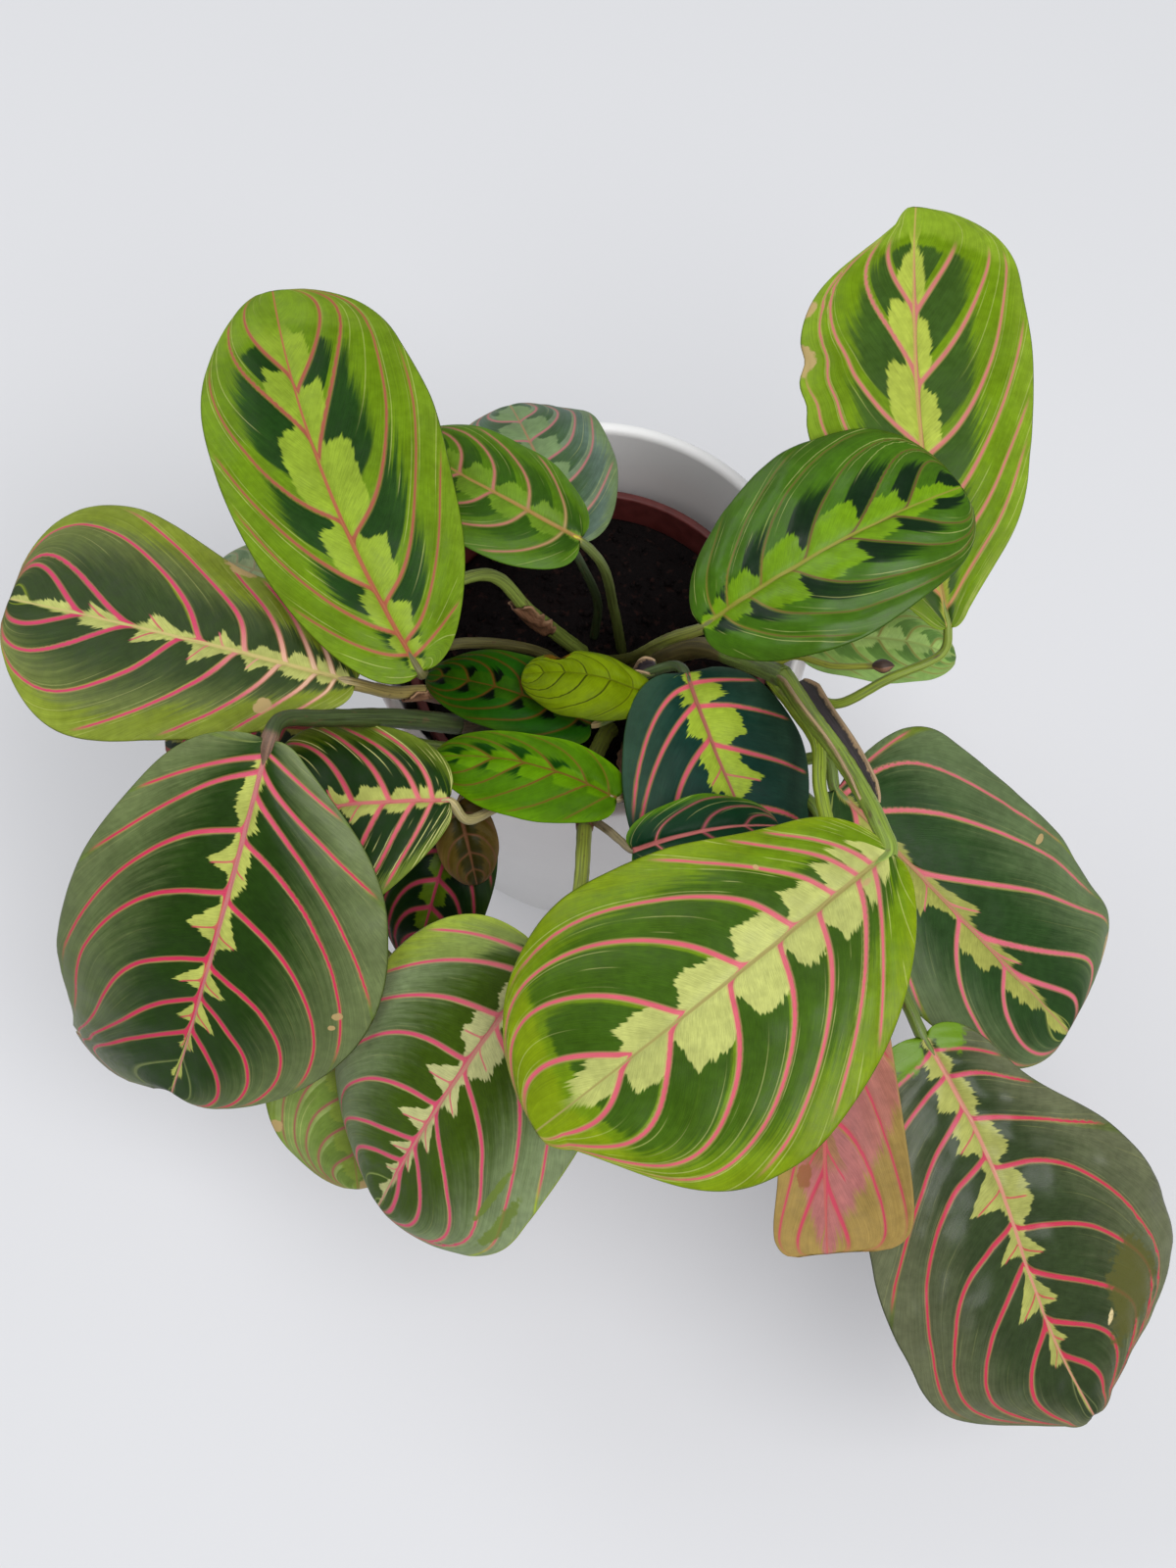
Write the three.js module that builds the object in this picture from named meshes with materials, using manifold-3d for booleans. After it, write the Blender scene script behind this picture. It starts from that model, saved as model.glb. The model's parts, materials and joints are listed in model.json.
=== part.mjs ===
// A potted prayer plant: a white pot, a nursery pot standing in it, soil, and a maranta's stems and leaves.
// Millimetres, +Z up. The origin is the middle of the white pot's underside, and -Y is the plant's front.
import * as THREE from "three";
import { mergeVertices } from "three/addons/utils/BufferGeometryUtils.js";
import Module from "manifold-3d";

const wasm = await Module();
wasm.setup();

// The white pot
const POT_HEIGHT = 125;
const POT_MOUTH_RADIUS = 65;
const POT_RIM_RADIUS = 69.5;
const POT_FOOT_RADIUS = 58;
const POT_FLOOR = 6;
const POT_EDGE = 2;

// The nursery pot, which stands on the white pot's floor
const CLEARANCE = 0.3;
const NURSERY_BASE = POT_FLOOR + CLEARANCE;
const NURSERY_TOP = 101;
const NURSERY_RIM_RADIUS = 58;
const NURSERY_FOOT_RADIUS = 43;
const NURSERY_WALL = 1.4;
const NURSERY_LIP_HEIGHT = 7;
const NURSERY_LIP_WIDTH = 1.6;
const DRAIN_RADIUS = 4;
const DRAIN_CIRCLE = 27;
const DRAIN_COUNT = 5;

// The soil
const SOIL_TOP = 91;
const ROOTING_DEPTH = 10;

// The blades and the tubes that carry them
const BLADE_THICKNESS = 0.8;
const BLADE_ROWS = 7;
const BLADE_COLUMNS = 6;
const TUBE_SIDES = 5;
const ROUND_SEGMENTS = 32;
const LOBE_PEAK = 4.8; // makes the lobe terms below reach about 1 at their largest
const EDGE_STATIONS = [0.05, 0.2, 0.4, 0.6, 0.8, 0.95];

const UP = new THREE.Vector3(0, 0, 1);

// What most blades share: arch and sway bow the midrib up and to its right, roll and fold are in degrees,
// curl is the angle that each half turns down by at its margin, and full_base and full_tip set how blunt
// the two ends are (0.5 is an ellipse's end, and less is blunter). snake bends the midrib to its right and
// back, lobe is how far both halves reach back past the base, and ahead how far the left and the right half
// reach on past the tip. left and right widen the two halves at the edge stations, places along the blade.
const BLADE_DEFAULTS = {
  arch: 6,
  sway: 0,
  snake: 0,
  roll: 0,
  fold: 6,
  curl: 22,
  skew: 0,
  lobe: 3,
  ahead: [0, 0],
  full_base: 0.48,
  full_tip: 0.56,
  left: [1, 1, 1, 1, 1, 1],
  right: [1, 1, 1, 1, 1, 1],
};

// The stems: each rises from the soil, and the petioles of its leaves start inside it
const STEMS = {
  stem_left: {
    radius: [3.2, 2.6],
    route: [[-3, -22, 91], [-12, -33, 112], [-23, -43, 132], [-38, -49, 146]],
  },
  stem_right: {
    radius: [3.5, 3],
    route: [[12, -9, 91], [19, -15, 116], [34, -20, 138], [46, -32, 153], [56, -42, 163]],
  },
  stem_low_right: {
    radius: [3, 2.6],
    route: [[27, -22, 91], [37, -41, 121], [48, -54, 135], [58, -66, 141]],
  },
  stem_front: {
    radius: [2.8, 2.4],
    route: [[7, -26, 91], [1, -55, 128], [-1, -85, 155]],
  },
};

// The leaves, each a blade with its petiole. A petiole with no stem named rises from the soil.
const LEAVES = [
  {
    name: "leaf_back_right",
    color: 0x7fa52f,
    base: [100, -36, 182],
    tip: [94, 84, 212],
    width: 67,
    sway: -5,
    full_base: 0.57,
    full_tip: 0.42,
    left: [0.6, 0.9, 0.94, 0.98, 0.85, 0.3],
    right: [0.57, 0.94, 1, 1.02, 1.08, 1.3],
    stem: "stem_right",
    radius: [1.6, 1.2],
    petiole: [[47, -33, 154], [54, -37, 154], [62, -43, 157], [70, -51, 164], [84, -47, 172], [99, -41, 177]],
  },
  {
    name: "leaf_upper_right",
    color: 0x4f8a34,
    base: [31, -40, 190],
    tip: [102, -5, 205],
    width: 58,
    arch: 8,
    sway: 0.5,
    full_base: 0.5,
    full_tip: 0.42,
    left: [0.92, 1.02, 1.1, 1.15, 1.22, 1.3],
    right: [0.85, 0.93, 0.95, 0.9, 0.9, 0.95],
    radius: [1.8, 1.7],
    petiole: [[6, -1, 91], [13, -17, 125], [24, -38, 180]],
  },
  {
    name: "leaf_low_right",
    color: 0x86b06a,
    base: [63, -23, 150],
    tip: [110, -24, 140],
    width: 28,
    stem: "stem_right",
    radius: [1.4, 1.2],
    petiole: [[41, -27, 147], [48, -22, 147], [57, -21, 149]],
  },
  {
    name: "leaf_back_left",
    color: 0x7d9f2c,
    base: [-46, -49, 180],
    tip: [-90, 60, 205],
    width: 66,
    sway: -6,
    skew: 0.1,
    full_base: 0.52,
    full_tip: 0.45,
    left: [0.96, 0.93, 0.93, 0.96, 1, 0.85],
    right: [0.9, 0.96, 0.97, 1.02, 1.08, 1.26],
    radius: [1.8, 1.6],
    petiole: [[-6, -6, 91], [-14, -9, 112], [-30, -18, 137], [-43, -29, 156], [-46, -43, 172]],
  },
  {
    name: "leaf_left",
    color: 0x5c7a48,
    base: [-65, -48, 172],
    tip: [-167, -18, 165],
    width: 73,
    arch: 2,
    skew: 0.07,
    ahead: [0, 5],
    full_base: 0.5,
    full_tip: 0.42,
    left: [0.65, 0.76, 0.9, 1.05, 1.12, 1],
    right: [0.7, 0.72, 0.7, 0.9, 1.16, 1.35],
    stem: "stem_left",
    radius: [2, 1.8],
    petiole: [[-27, -44.6, 135.5], [-36, -41, 144], [-46, -40, 149], [-56, -45, 159]],
  },
  {
    name: "leaf_front_left",
    color: 0x44663a,
    base: [-85, -74, 190],
    tip: [-121, -148, 104.5],
    width: 98,
    arch: 9,
    sway: -4,
    roll: 8,
    skew: -0.04,
    ahead: [0, 36],
    full_base: 0.54,
    full_tip: 0.44,
    left: [0.55, 0.85, 0.95, 0.93, 0.8, 0.62],
    right: [1, 0.93, 0.97, 1, 1.01, 1.6],
    stem: "stem_left",
    radius: [3.1, 2],
    petiole: [[-38, -49, 146], [-55, -54, 161], [-73, -61, 176], [-83, -67, 187]],
  },
  {
    name: "leaf_front_middle",
    color: 0x3f6442,
    base: [-11, -127, 168],
    tip: [-60, -180, 100],
    width: 77,
    arch: 10,
    sway: -1,
    roll: -6,
    skew: -0.05,
    left: [1, 1, 0.97, 1.01, 1.12, 1],
    right: [1.25, 1.15, 1.08, 1.1, 1.25, 1.4],
    stem: "stem_front",
    radius: [2.2, 1.8],
    petiole: [[-1, -85, 155], [-2, -105, 162], [-4, -119, 168]],
  },
  {
    name: "leaf_centre_lime",
    color: 0x7a9c2d,
    base: [75, -114, 212],
    tip: [-13, -179, 188],
    width: 88,
    arch: 8,
    sway: -2,
    full_base: 0.54,
    full_tip: 0.44,
    left: [0.75, 0.88, 0.97, 1.02, 0.88, 0.42],
    right: [0.9, 0.78, 0.9, 1, 1.07, 1.15],
    stem: "stem_right",
    radius: [2.8, 2.2],
    petiole: [[56, -42, 163], [61, -60, 176], [67, -80, 192], [73, -106, 210]],
    sheath: { radius: [5.4, 3.4], wall: 0.9, opening: 190, spine: [-0.25, -0.6, -0.75], ends: [0.06, 0.82] },
  },
  {
    name: "leaf_right",
    color: 0x49663c,
    base: [71, -70, 148],
    tip: [142, -129, 102],
    width: 82,
    arch: 8,
    sway: 3,
    skew: -0.12,
    lobe: 6,
    ahead: [5, 0],
    full_base: 0.45,
    full_tip: 0.42,
    left: [1.3, 1.04, 0.93, 0.96, 1.06, 1.4],
    right: [0.9, 0.85, 0.82, 0.82, 0.85, 0.9],
    stem: "stem_low_right",
    radius: [1.9, 1.7],
    petiole: [[54, -61, 139], [62, -60, 145], [69, -61, 148]],
  },
  {
    name: "leaf_front_right",
    color: 0x35502f,
    base: [91, -144, 150],
    tip: [143, -236, 85],
    width: 85,
    sway: 1,
    snake: -2,
    lobe: 6,
    ahead: [3, 5],
    full_base: 0.56,
    full_tip: 0.5,
    left: [0.65, 0.6, 0.93, 1.12, 1.1, 0.45],
    right: [0.95, 1, 1, 0.98, 0.95, 0.45],
    stem: "stem_low_right",
    radius: [1.9, 1.8],
    petiole: [[58, -66, 141], [65, -78, 150.5], [70, -93, 150], [81, -120, 149], [88, -137, 150]],
  },
  {
    name: "leaf_hanging",
    color: 0xc08a86,
    base: [69, -107, 168],
    tip: [64, -199.5, 134],
    width: 40,
    arch: 4,
    sway: 3,
    roll: 180,
    skew: 0.27,
    full_base: 0.5,
    full_tip: 0.15,
    left: [0.95, 0.93, 0.93, 0.93, 0.88, 1.1],
    right: [0.75, 0.77, 0.78, 0.84, 0.92, 1],
    stem: "stem_right",
    radius: [2.2, 1.7],
    petiole: [[53, -40, 158], [59, -52, 162], [64, -64, 166], [64, -78, 167], [67, -94, 166]],
  },
  {
    name: "leaf_centre_dark",
    color: 0x24483c,
    base: [28, -43, 168],
    tip: [55, -102, 145],
    width: 57,
    sway: 3,
    roll: 12,
    skew: 0.14,
    full_base: 0.4,
    left: [1.1, 1.12, 1.13, 1.12, 1.1, 1],
    right: [0.7, 0.78, 0.92, 1.05, 1.1, 1],
    radius: [1.8, 1.5],
    petiole: [[11, -17, 91], [10, -28, 125], [14, -38, 154], [25, -39, 164]],
    sheath: { radius: [2.4, 3.2], wall: 0.8, opening: 140, spine: [0, -0.4, -1], ends: [0.6, 0.92] },
  },
  {
    name: "leaf_small_green",
    color: 0x5f9a22,
    base: [8, -81, 167],
    tip: [-44, -65, 158],
    width: 27,
    sway: 2,
    left: [1.05, 1.1, 1.2, 1.2, 1.15, 1.1],
    right: [0.95, 0.85, 0.75, 0.7, 0.75, 0.9],
    radius: [1.6, 1.3],
    petiole: [[12, -31, 91], [11, -55, 133], [12, -75, 160]],
  },
  {
    name: "leaf_small_yellow",
    color: 0x8aa01c,
    base: [16, -49, 168],
    tip: [-19, -42, 164],
    width: 27,
    left: [0.9, 0.95, 0.98, 1, 0.95, 0.9],
    right: [0.6, 0.5, 0.55, 0.6, 0.6, 0.9],
    radius: [1.4, 1.3],
    petiole: [[17, -18, 91], [20, -38, 130], [20, -48, 160]],
  },
  {
    name: "leaf_inner_left",
    color: 0x3e7a2c,
    base: [1, -53, 155],
    tip: [-47, -36, 152],
    width: 26,
    radius: [1.6, 1.3],
    petiole: [[5, -15, 91], [7, -36, 125], [6, -49, 150]],
  },
  {
    name: "leaf_back_inner",
    color: 0x4d8434,
    base: [-2, -4, 175],
    tip: [-56, 28, 178],
    width: 38,
    sway: -3,
    radius: [1.7, 1.4],
    petiole: [[11, 3, 91], [8, 0, 125], [3, -6, 167]],
  },
  {
    name: "leaf_back_outer",
    color: 0x3f7348,
    base: [-5, 6, 155],
    tip: [-25, 68, 135],
    width: 50,
    full_base: 0.5,
    full_tip: 0.45,
    right: [0.9, 0.93, 0.95, 0.95, 0.95, 0.75],
    radius: [1.5, 1.3],
    petiole: [[2, 8, 91], [3, 6, 118], [-2, 3, 148]],
  },
  {
    name: "leaf_left_inner",
    color: 0x4d7a34,
    base: [-38, -82, 168],
    tip: [-101, -82, 149],
    width: 51,
    arch: 5,
    left: [0.7, 0.97, 1.2, 1.3, 1.3, 1.2],
    right: [0.95, 0.97, 1, 1.1, 1.1, 1],
    radius: [1.6, 1.4],
    petiole: [[-7, -33, 91], [-15, -60, 133], [-27, -80, 156], [-34, -86, 164]],
  },
  {
    name: "leaf_left_low",
    color: 0x4c6650,
    base: [-77, -49, 142],
    tip: [-126, -48, 132],
    width: 33,
    stem: "stem_left",
    radius: [1.5, 1.3],
    petiole: [[-23, -43, 132], [-33, -52, 137], [-45, -53, 140], [-62, -50, 142]],
  },
  {
    name: "leaf_front_dark",
    color: 0x1e3326,
    base: [-36, -72, 140],
    tip: [-51, -111, 105],
    width: 33,
    radius: [1.5, 1.3],
    petiole: [[-14, -24, 91], [-15, -48, 121], [-25, -65, 137]],
  },
  {
    name: "leaf_small_brown",
    color: 0x5a5a26,
    base: [-37, -76, 151],
    tip: [-32, -94, 133],
    width: 18,
    arch: 3,
    radius: [1.1, 1],
    petiole: [[-20, -30, 91], [-24, -50, 125], [-33, -67, 145]],
  },
  {
    name: "leaf_front_low",
    color: 0x667d2c,
    base: [-72, -107, 122],
    tip: [-69, -170, 75],
    width: 48,
    right: [1, 1, 1.05, 1.1, 1.15, 1.2],
    radius: [1.6, 1.4],
    petiole: [[-16, -34, 91], [-30, -64, 130], [-48, -78, 122], [-62, -93, 118]],
  },
  {
    name: "leaf_folded",
    color: 0x3f6a34,
    base: [12, -100, 176],
    tip: [52, -91, 171],
    width: 22,
    stem: "stem_front",
    radius: [1.3, 1.1],
    petiole: [[0, -80, 151], [6, -89, 162], [9, -95, 170]],
  },
  {
    name: "leaf_back_low",
    color: 0x86a87a,
    base: [-73, -15, 150],
    tip: [-112, 7, 142],
    width: 28,
    radius: [2.6, 1.4],
    petiole: [[-2, 2, 91], [-18, -1, 125], [-30, 1, 145], [-52, -11, 152]],
  },
];

// The dried sheaths, each lying loose against the petiole of a leaf
const DRY_SHEATHS = [
  {
    name: "dry_sheath_left",
    leaf: "leaf_left",
    radius: [3, 3.4],
    wall: 0.8,
    opening: 200,
    spine: [0, -1, -0.6],
    ends: [0.5, 0.88],
  },
  {
    name: "dry_sheath_back",
    leaf: "leaf_back_low",
    radius: [4.5, 3.8],
    wall: 0.8,
    opening: 200,
    spine: [-0.6, -1, 0],
    ends: [0.3, 0.52],
  },
  {
    name: "dry_sheath_middle",
    leaf: "leaf_small_green",
    radius: [3.2, 2.6],
    wall: 0.8,
    opening: 170,
    spine: [-1, -0.3, 0],
    ends: [0.55, 0.85],
  },
];

// The dried flower stalk, with a bud at its end
const FLOWER_STALK = {
  stem: "stem_right",
  radius: [1.1, 0.9],
  route: [[52, -38, 159], [58, -37, 166], [69, -43, 172], [80, -46, 178]],
};
const BUD_SIZE = [3.4, 1.7, 2];

const material = (color, roughness) => new THREE.MeshStandardMaterial({ color, roughness, metalness: 0 });
const vector = ([x, y, z]) => new THREE.Vector3(x, y, z);
const mix = THREE.MathUtils.lerp;

// Solids and their joins

function solidOf(geometry) {
  const bare = geometry.index ? geometry.toNonIndexed() : geometry.clone();
  bare.deleteAttribute("normal");
  bare.deleteAttribute("uv");
  const merged = mergeVertices(bare, 1e-3);
  return new wasm.Manifold(
    new wasm.Mesh({
      numProp: 3,
      vertProperties: merged.attributes.position.array,
      triVerts: new Uint32Array(merged.index.array),
    }),
  );
}

function geometryOf(solid) {
  const mesh = solid.getMesh();
  const geometry = new THREE.BufferGeometry();
  geometry.setAttribute("position", new THREE.BufferAttribute(new Float32Array(mesh.vertProperties), 3));
  geometry.setIndex(new THREE.BufferAttribute(new Uint32Array(mesh.triVerts), 1));
  geometry.computeVertexNormals();
  return geometry;
}

function named(name, solid, color, roughness) {
  const mesh = new THREE.Mesh(geometryOf(solid), material(color, roughness));
  mesh.name = name;
  return mesh;
}

function surface(triangles) {
  const geometry = new THREE.BufferGeometry();
  const numbers = triangles.flat().flatMap((p) => [p.x, p.y, p.z]);
  geometry.setAttribute("position", new THREE.Float32BufferAttribute(numbers, 3));
  return geometry;
}

// The skin between rings of points, with a flat end at the first ring and at the last.
function loft(rings, endOf) {
  const triangles = [];
  const count = rings[0].length;
  for (let i = 0; i < rings.length - 1; i++) {
    for (let j = 0; j < count; j++) {
      const k = (j + 1) % count;
      triangles.push([rings[i][j], rings[i][k], rings[i + 1][k]]);
      triangles.push([rings[i][j], rings[i + 1][k], rings[i + 1][j]]);
    }
  }
  const first = endOf(rings[0]).map(([a, b, c]) => [a, c, b]);
  return surface([...triangles, ...first, ...endOf(rings[rings.length - 1])]);
}

// Tubes: stems, petioles, the flower stalk

const smooth = (points) => new THREE.CatmullRomCurve3(points, false, "centripetal");

function fanEnd(ring) {
  const middle = ring.reduce((sum, p) => sum.add(p), new THREE.Vector3()).divideScalar(ring.length);
  return ring.map((p, j) => [middle, p, ring[(j + 1) % ring.length]]);
}

function tube(points, [startRadius, endRadius], extra = 0) {
  const curve = smooth(points);
  const steps = Math.ceil(1.4 * points.length);
  const frames = curve.computeFrenetFrames(steps, false);
  const rings = [];
  for (let i = 0; i <= steps; i++) {
    const centre = curve.getPointAt(i / steps);
    const radius = mix(startRadius, endRadius, i / steps) + extra;
    const ring = [];
    for (let j = 0; j < TUBE_SIDES; j++) {
      const angle = (2 * Math.PI * j) / TUBE_SIDES;
      ring.push(
        centre
          .clone()
          .addScaledVector(frames.normals[i], radius * Math.cos(angle))
          .addScaledVector(frames.binormals[i], radius * Math.sin(angle)),
      );
    }
    rings.push(ring);
  }
  return solidOf(loft(rings, fanEnd));
}

// A route that starts in the soil begins straight down below its first point.
function rooted(route) {
  const points = route.map(vector);
  const root = points[0].clone();
  root.z -= ROOTING_DEPTH;
  return [root, ...points];
}

// Blades

function bladeOutline(t, blade) {
  const a = blade.full_base;
  const b = blade.full_tip;
  const widest = a / (a + b);
  return (t ** a * (1 - t) ** b) / (widest ** a * (1 - widest) ** b);
}

function edgeFactor(t, values) {
  const last = EDGE_STATIONS.length - 1;
  const at = THREE.MathUtils.clamp(t, EDGE_STATIONS[0], EDGE_STATIONS[last]);
  const i = Math.min(EDGE_STATIONS.findLastIndex((station) => station <= at), last - 1);
  return mix(values[i], values[i + 1], (at - EDGE_STATIONS[i]) / (EDGE_STATIONS[i + 1] - EDGE_STATIONS[i]));
}

// The midrib's point and the frame there, at the fraction t of its length.
function midrib(blade, t) {
  const start = vector(blade.base);
  const chord = vector(blade.tip).sub(start);
  const side = chord.clone().cross(UP).normalize();
  const rise = side.clone().cross(chord).normalize();
  const bow = rise.multiplyScalar(blade.arch).addScaledVector(side, blade.sway);
  const point = start
    .addScaledVector(chord, t)
    .addScaledVector(bow, 4 * t * (1 - t))
    .addScaledVector(side, blade.snake * Math.sin(2 * Math.PI * t));
  const along = chord.addScaledVector(bow, 4 * (1 - 2 * t)).normalize();
  const across = along.clone().cross(UP).normalize();
  across.applyAxisAngle(along, -THREE.MathUtils.degToRad(blade.roll));
  const normal = across.clone().cross(along);
  return { point, along, across, normal };
}

// A point of the blade: t runs from base to tip, u from the left margin at -1 to the right margin at 1.
function bladePoint(blade, t, u, offset) {
  const onRight = u > 0;
  const peak = (LOBE_PEAK / vector(blade.tip).distanceTo(vector(blade.base))) * u * u;
  const lobe = blade.lobe * peak * Math.sqrt(t) * (1 - t) ** 4;
  const ahead = blade.ahead[onRight ? 1 : 0] * peak * Math.sqrt(1 - t) * t ** 4;
  const frame = midrib(blade, t - lobe + ahead);
  const share = edgeFactor(t, onRight ? blade.right : blade.left) * (1 + blade.skew * Math.sign(u));
  const half = (blade.width / 2) * bladeOutline(t, blade) * share;
  const fold = THREE.MathUtils.degToRad(blade.fold);
  const curl = THREE.MathUtils.degToRad(blade.curl);
  const turned = fold - curl * Math.abs(u);
  const reach = (half * (Math.sin(fold) - Math.sin(turned))) / curl;
  const height = (half * (Math.cos(turned) - Math.cos(fold))) / curl;
  return frame.point
    .addScaledVector(frame.across, reach * Math.sign(u))
    .addScaledVector(frame.normal, height + offset);
}

function bladeSolid(blade) {
  const cell = (i, j, side) => {
    const t = (1 - Math.cos((Math.PI * i) / BLADE_ROWS)) / 2;
    const u = (2 * j) / BLADE_COLUMNS - 1;
    const inside = i > 0 && i < BLADE_ROWS && j > 0 && j < BLADE_COLUMNS;
    return bladePoint(blade, t, u, inside ? (side * BLADE_THICKNESS) / 2 : 0);
  };
  const triangles = [];
  for (const side of [1, -1]) {
    for (let i = 0; i < BLADE_ROWS; i++) {
      for (let j = 0; j < BLADE_COLUMNS; j++) {
        const [a, b] = [cell(i, j, side), cell(i, j + 1, side)];
        const [c, d] = [cell(i + 1, j + 1, side), cell(i + 1, j, side)];
        if (i > 0) triangles.push(side > 0 ? [a, b, c] : [a, c, b]);
        if (i < BLADE_ROWS - 1) triangles.push(side > 0 ? [a, c, d] : [a, d, c]);
      }
    }
  }
  return solidOf(surface(triangles));
}

// The petiole runs on under the blade as the thick end of the midrib.
function petioleRoute(leaf) {
  const route = leaf.stem ? leaf.petiole.map(vector) : rooted(leaf.petiole);
  const below = (t) => {
    const { point, normal } = midrib(leaf, t);
    return point.addScaledVector(normal, -0.7 * leaf.radius[1]);
  };
  return [...route, below(0), below(0.12)];
}

// An open sheath: a trough along a petiole, whose closed side lies at the distance aside from its middle.
function stripEnd(ring) {
  const half = ring.length / 2;
  const triangles = [];
  for (let j = 0; j < half - 1; j++) {
    const k = ring.length - 1 - j;
    triangles.push([ring[j], ring[j + 1], ring[k]]);
    triangles.push([ring[j + 1], ring[k - 1], ring[k]]);
  }
  return triangles;
}

function trough(points, { radius, wall, opening, spine, ends, aside = 0 }) {
  const curve = smooth(points);
  const steps = 8;
  const arcs = 6;
  const rings = [];
  for (let i = 0; i <= steps; i++) {
    const at = mix(ends[0], ends[1], i / steps);
    const along = curve.getTangentAt(at);
    const back = vector(spine).projectOnPlane(along).normalize();
    const side = along.clone().cross(back);
    const size = mix(radius[0], radius[1], i / steps);
    const centre = curve.getPointAt(at).addScaledVector(back, aside - size);
    const spread = THREE.MathUtils.degToRad(180 - opening / 2);
    const arc = (r, from, to) =>
      Array.from({ length: arcs + 1 }, (_, j) => {
        const angle = mix(from, to, j / arcs);
        return centre
          .clone()
          .addScaledVector(back, r * Math.cos(angle))
          .addScaledVector(side, r * Math.sin(angle));
      });
    rings.push([...arc(size + wall / 2, -spread, spread), ...arc(size - wall / 2, spread, -spread)]);
  }
  return solidOf(loft(rings, stripEnd));
}

const stems = Object.fromEntries(
  Object.entries(STEMS).map(([name, stem]) => [
    name,
    {
      solid: tube(rooted(stem.route), stem.radius),
      cutter: tube(rooted(stem.route), stem.radius, CLEARANCE),
    },
  ]),
);

function leafSolid(leaf) {
  const route = petioleRoute(leaf);
  let solid = bladeSolid(leaf).add(tube(route, leaf.radius));
  if (leaf.sheath) solid = solid.add(trough(leaf.petiole.map(vector), leaf.sheath));
  return leaf.stem ? solid.subtract(stems[leaf.stem].cutter) : solid;
}

// A dried sheath that has come loose from its petiole and lies against it.
function drySheathSolid(sheath) {
  const leaf = leaves.find(({ name }) => name === sheath.leaf);
  const aside = leaf.radius[0] + CLEARANCE + sheath.wall / 2;
  const solid = trough(leaf.petiole.map(vector), { ...sheath, aside });
  return solid.subtract(tube(petioleRoute(leaf), leaf.radius, CLEARANCE));
}

function flowerStalkSolid() {
  const bud = new THREE.SphereGeometry(1, 10, 8).scale(...BUD_SIZE).translate(...FLOWER_STALK.route.at(-1));
  return tube(FLOWER_STALK.route.map(vector), FLOWER_STALK.radius)
    .add(solidOf(bud))
    .subtract(stems[FLOWER_STALK.stem].cutter);
}

// Pots and soil

function turned(profile) {
  const points = profile.map(([radius, height]) => new THREE.Vector2(radius, height));
  return solidOf(new THREE.LatheGeometry(points, ROUND_SEGMENTS).rotateX(Math.PI / 2));
}

function whitePot() {
  const wall = POT_RIM_RADIUS - POT_MOUTH_RADIUS;
  const innerFoot = POT_FOOT_RADIUS - wall;
  return turned([
    [0, 0],
    [POT_FOOT_RADIUS - POT_EDGE, 0],
    [POT_FOOT_RADIUS, POT_EDGE],
    [POT_RIM_RADIUS, POT_HEIGHT - POT_EDGE],
    [POT_RIM_RADIUS - POT_EDGE / 2, POT_HEIGHT],
    [POT_MOUTH_RADIUS + POT_EDGE / 2, POT_HEIGHT],
    [POT_MOUTH_RADIUS, POT_HEIGHT - POT_EDGE],
    [innerFoot, POT_FLOOR + POT_EDGE],
    [innerFoot - POT_EDGE, POT_FLOOR],
    [0, POT_FLOOR],
  ]);
}

const nurseryWallTop = NURSERY_RIM_RADIUS - NURSERY_LIP_WIDTH;

function nurseryPot() {
  let pot = turned([
    [0, NURSERY_BASE],
    [NURSERY_FOOT_RADIUS, NURSERY_BASE],
    [nurseryWallTop, NURSERY_TOP - NURSERY_LIP_HEIGHT],
    [NURSERY_RIM_RADIUS, NURSERY_TOP - NURSERY_LIP_HEIGHT],
    [NURSERY_RIM_RADIUS, NURSERY_TOP],
    [nurseryWallTop - NURSERY_WALL, NURSERY_TOP],
    [NURSERY_FOOT_RADIUS - NURSERY_WALL, NURSERY_BASE + NURSERY_WALL],
    [0, NURSERY_BASE + NURSERY_WALL],
  ]);
  for (let i = 0; i < DRAIN_COUNT; i++) {
    const angle = (2 * Math.PI * i) / DRAIN_COUNT;
    const drain = new THREE.CylinderGeometry(DRAIN_RADIUS, DRAIN_RADIUS, 4 * NURSERY_WALL, 12);
    drain.rotateX(Math.PI / 2);
    drain.translate(DRAIN_CIRCLE * Math.cos(angle), DRAIN_CIRCLE * Math.sin(angle), NURSERY_BASE);
    pot = pot.subtract(solidOf(drain));
  }
  return pot;
}

// The soil fills the nursery pot, with a hole for each stem and petiole that is rooted in it.
function soilPlug() {
  const inner = (height) =>
    mix(
      NURSERY_FOOT_RADIUS - NURSERY_WALL,
      nurseryWallTop - NURSERY_WALL,
      (height - NURSERY_BASE - NURSERY_WALL) / (NURSERY_TOP - NURSERY_BASE - NURSERY_WALL),
    ) -
    2 * CLEARANCE;
  const bottom = NURSERY_BASE + NURSERY_WALL + CLEARANCE;
  let soil = turned([
    [0, bottom],
    [inner(bottom), bottom],
    [inner(SOIL_TOP), SOIL_TOP],
    [0, SOIL_TOP],
  ]);
  for (const stem of Object.values(stems)) soil = soil.subtract(stem.cutter);
  for (const leaf of leaves.filter((one) => !one.stem))
    soil = soil.subtract(tube(petioleRoute(leaf), leaf.radius, CLEARANCE));
  return soil;
}

// The whole plant

const leaves = LEAVES.map((leaf) => ({ ...BLADE_DEFAULTS, ...leaf }));

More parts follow.
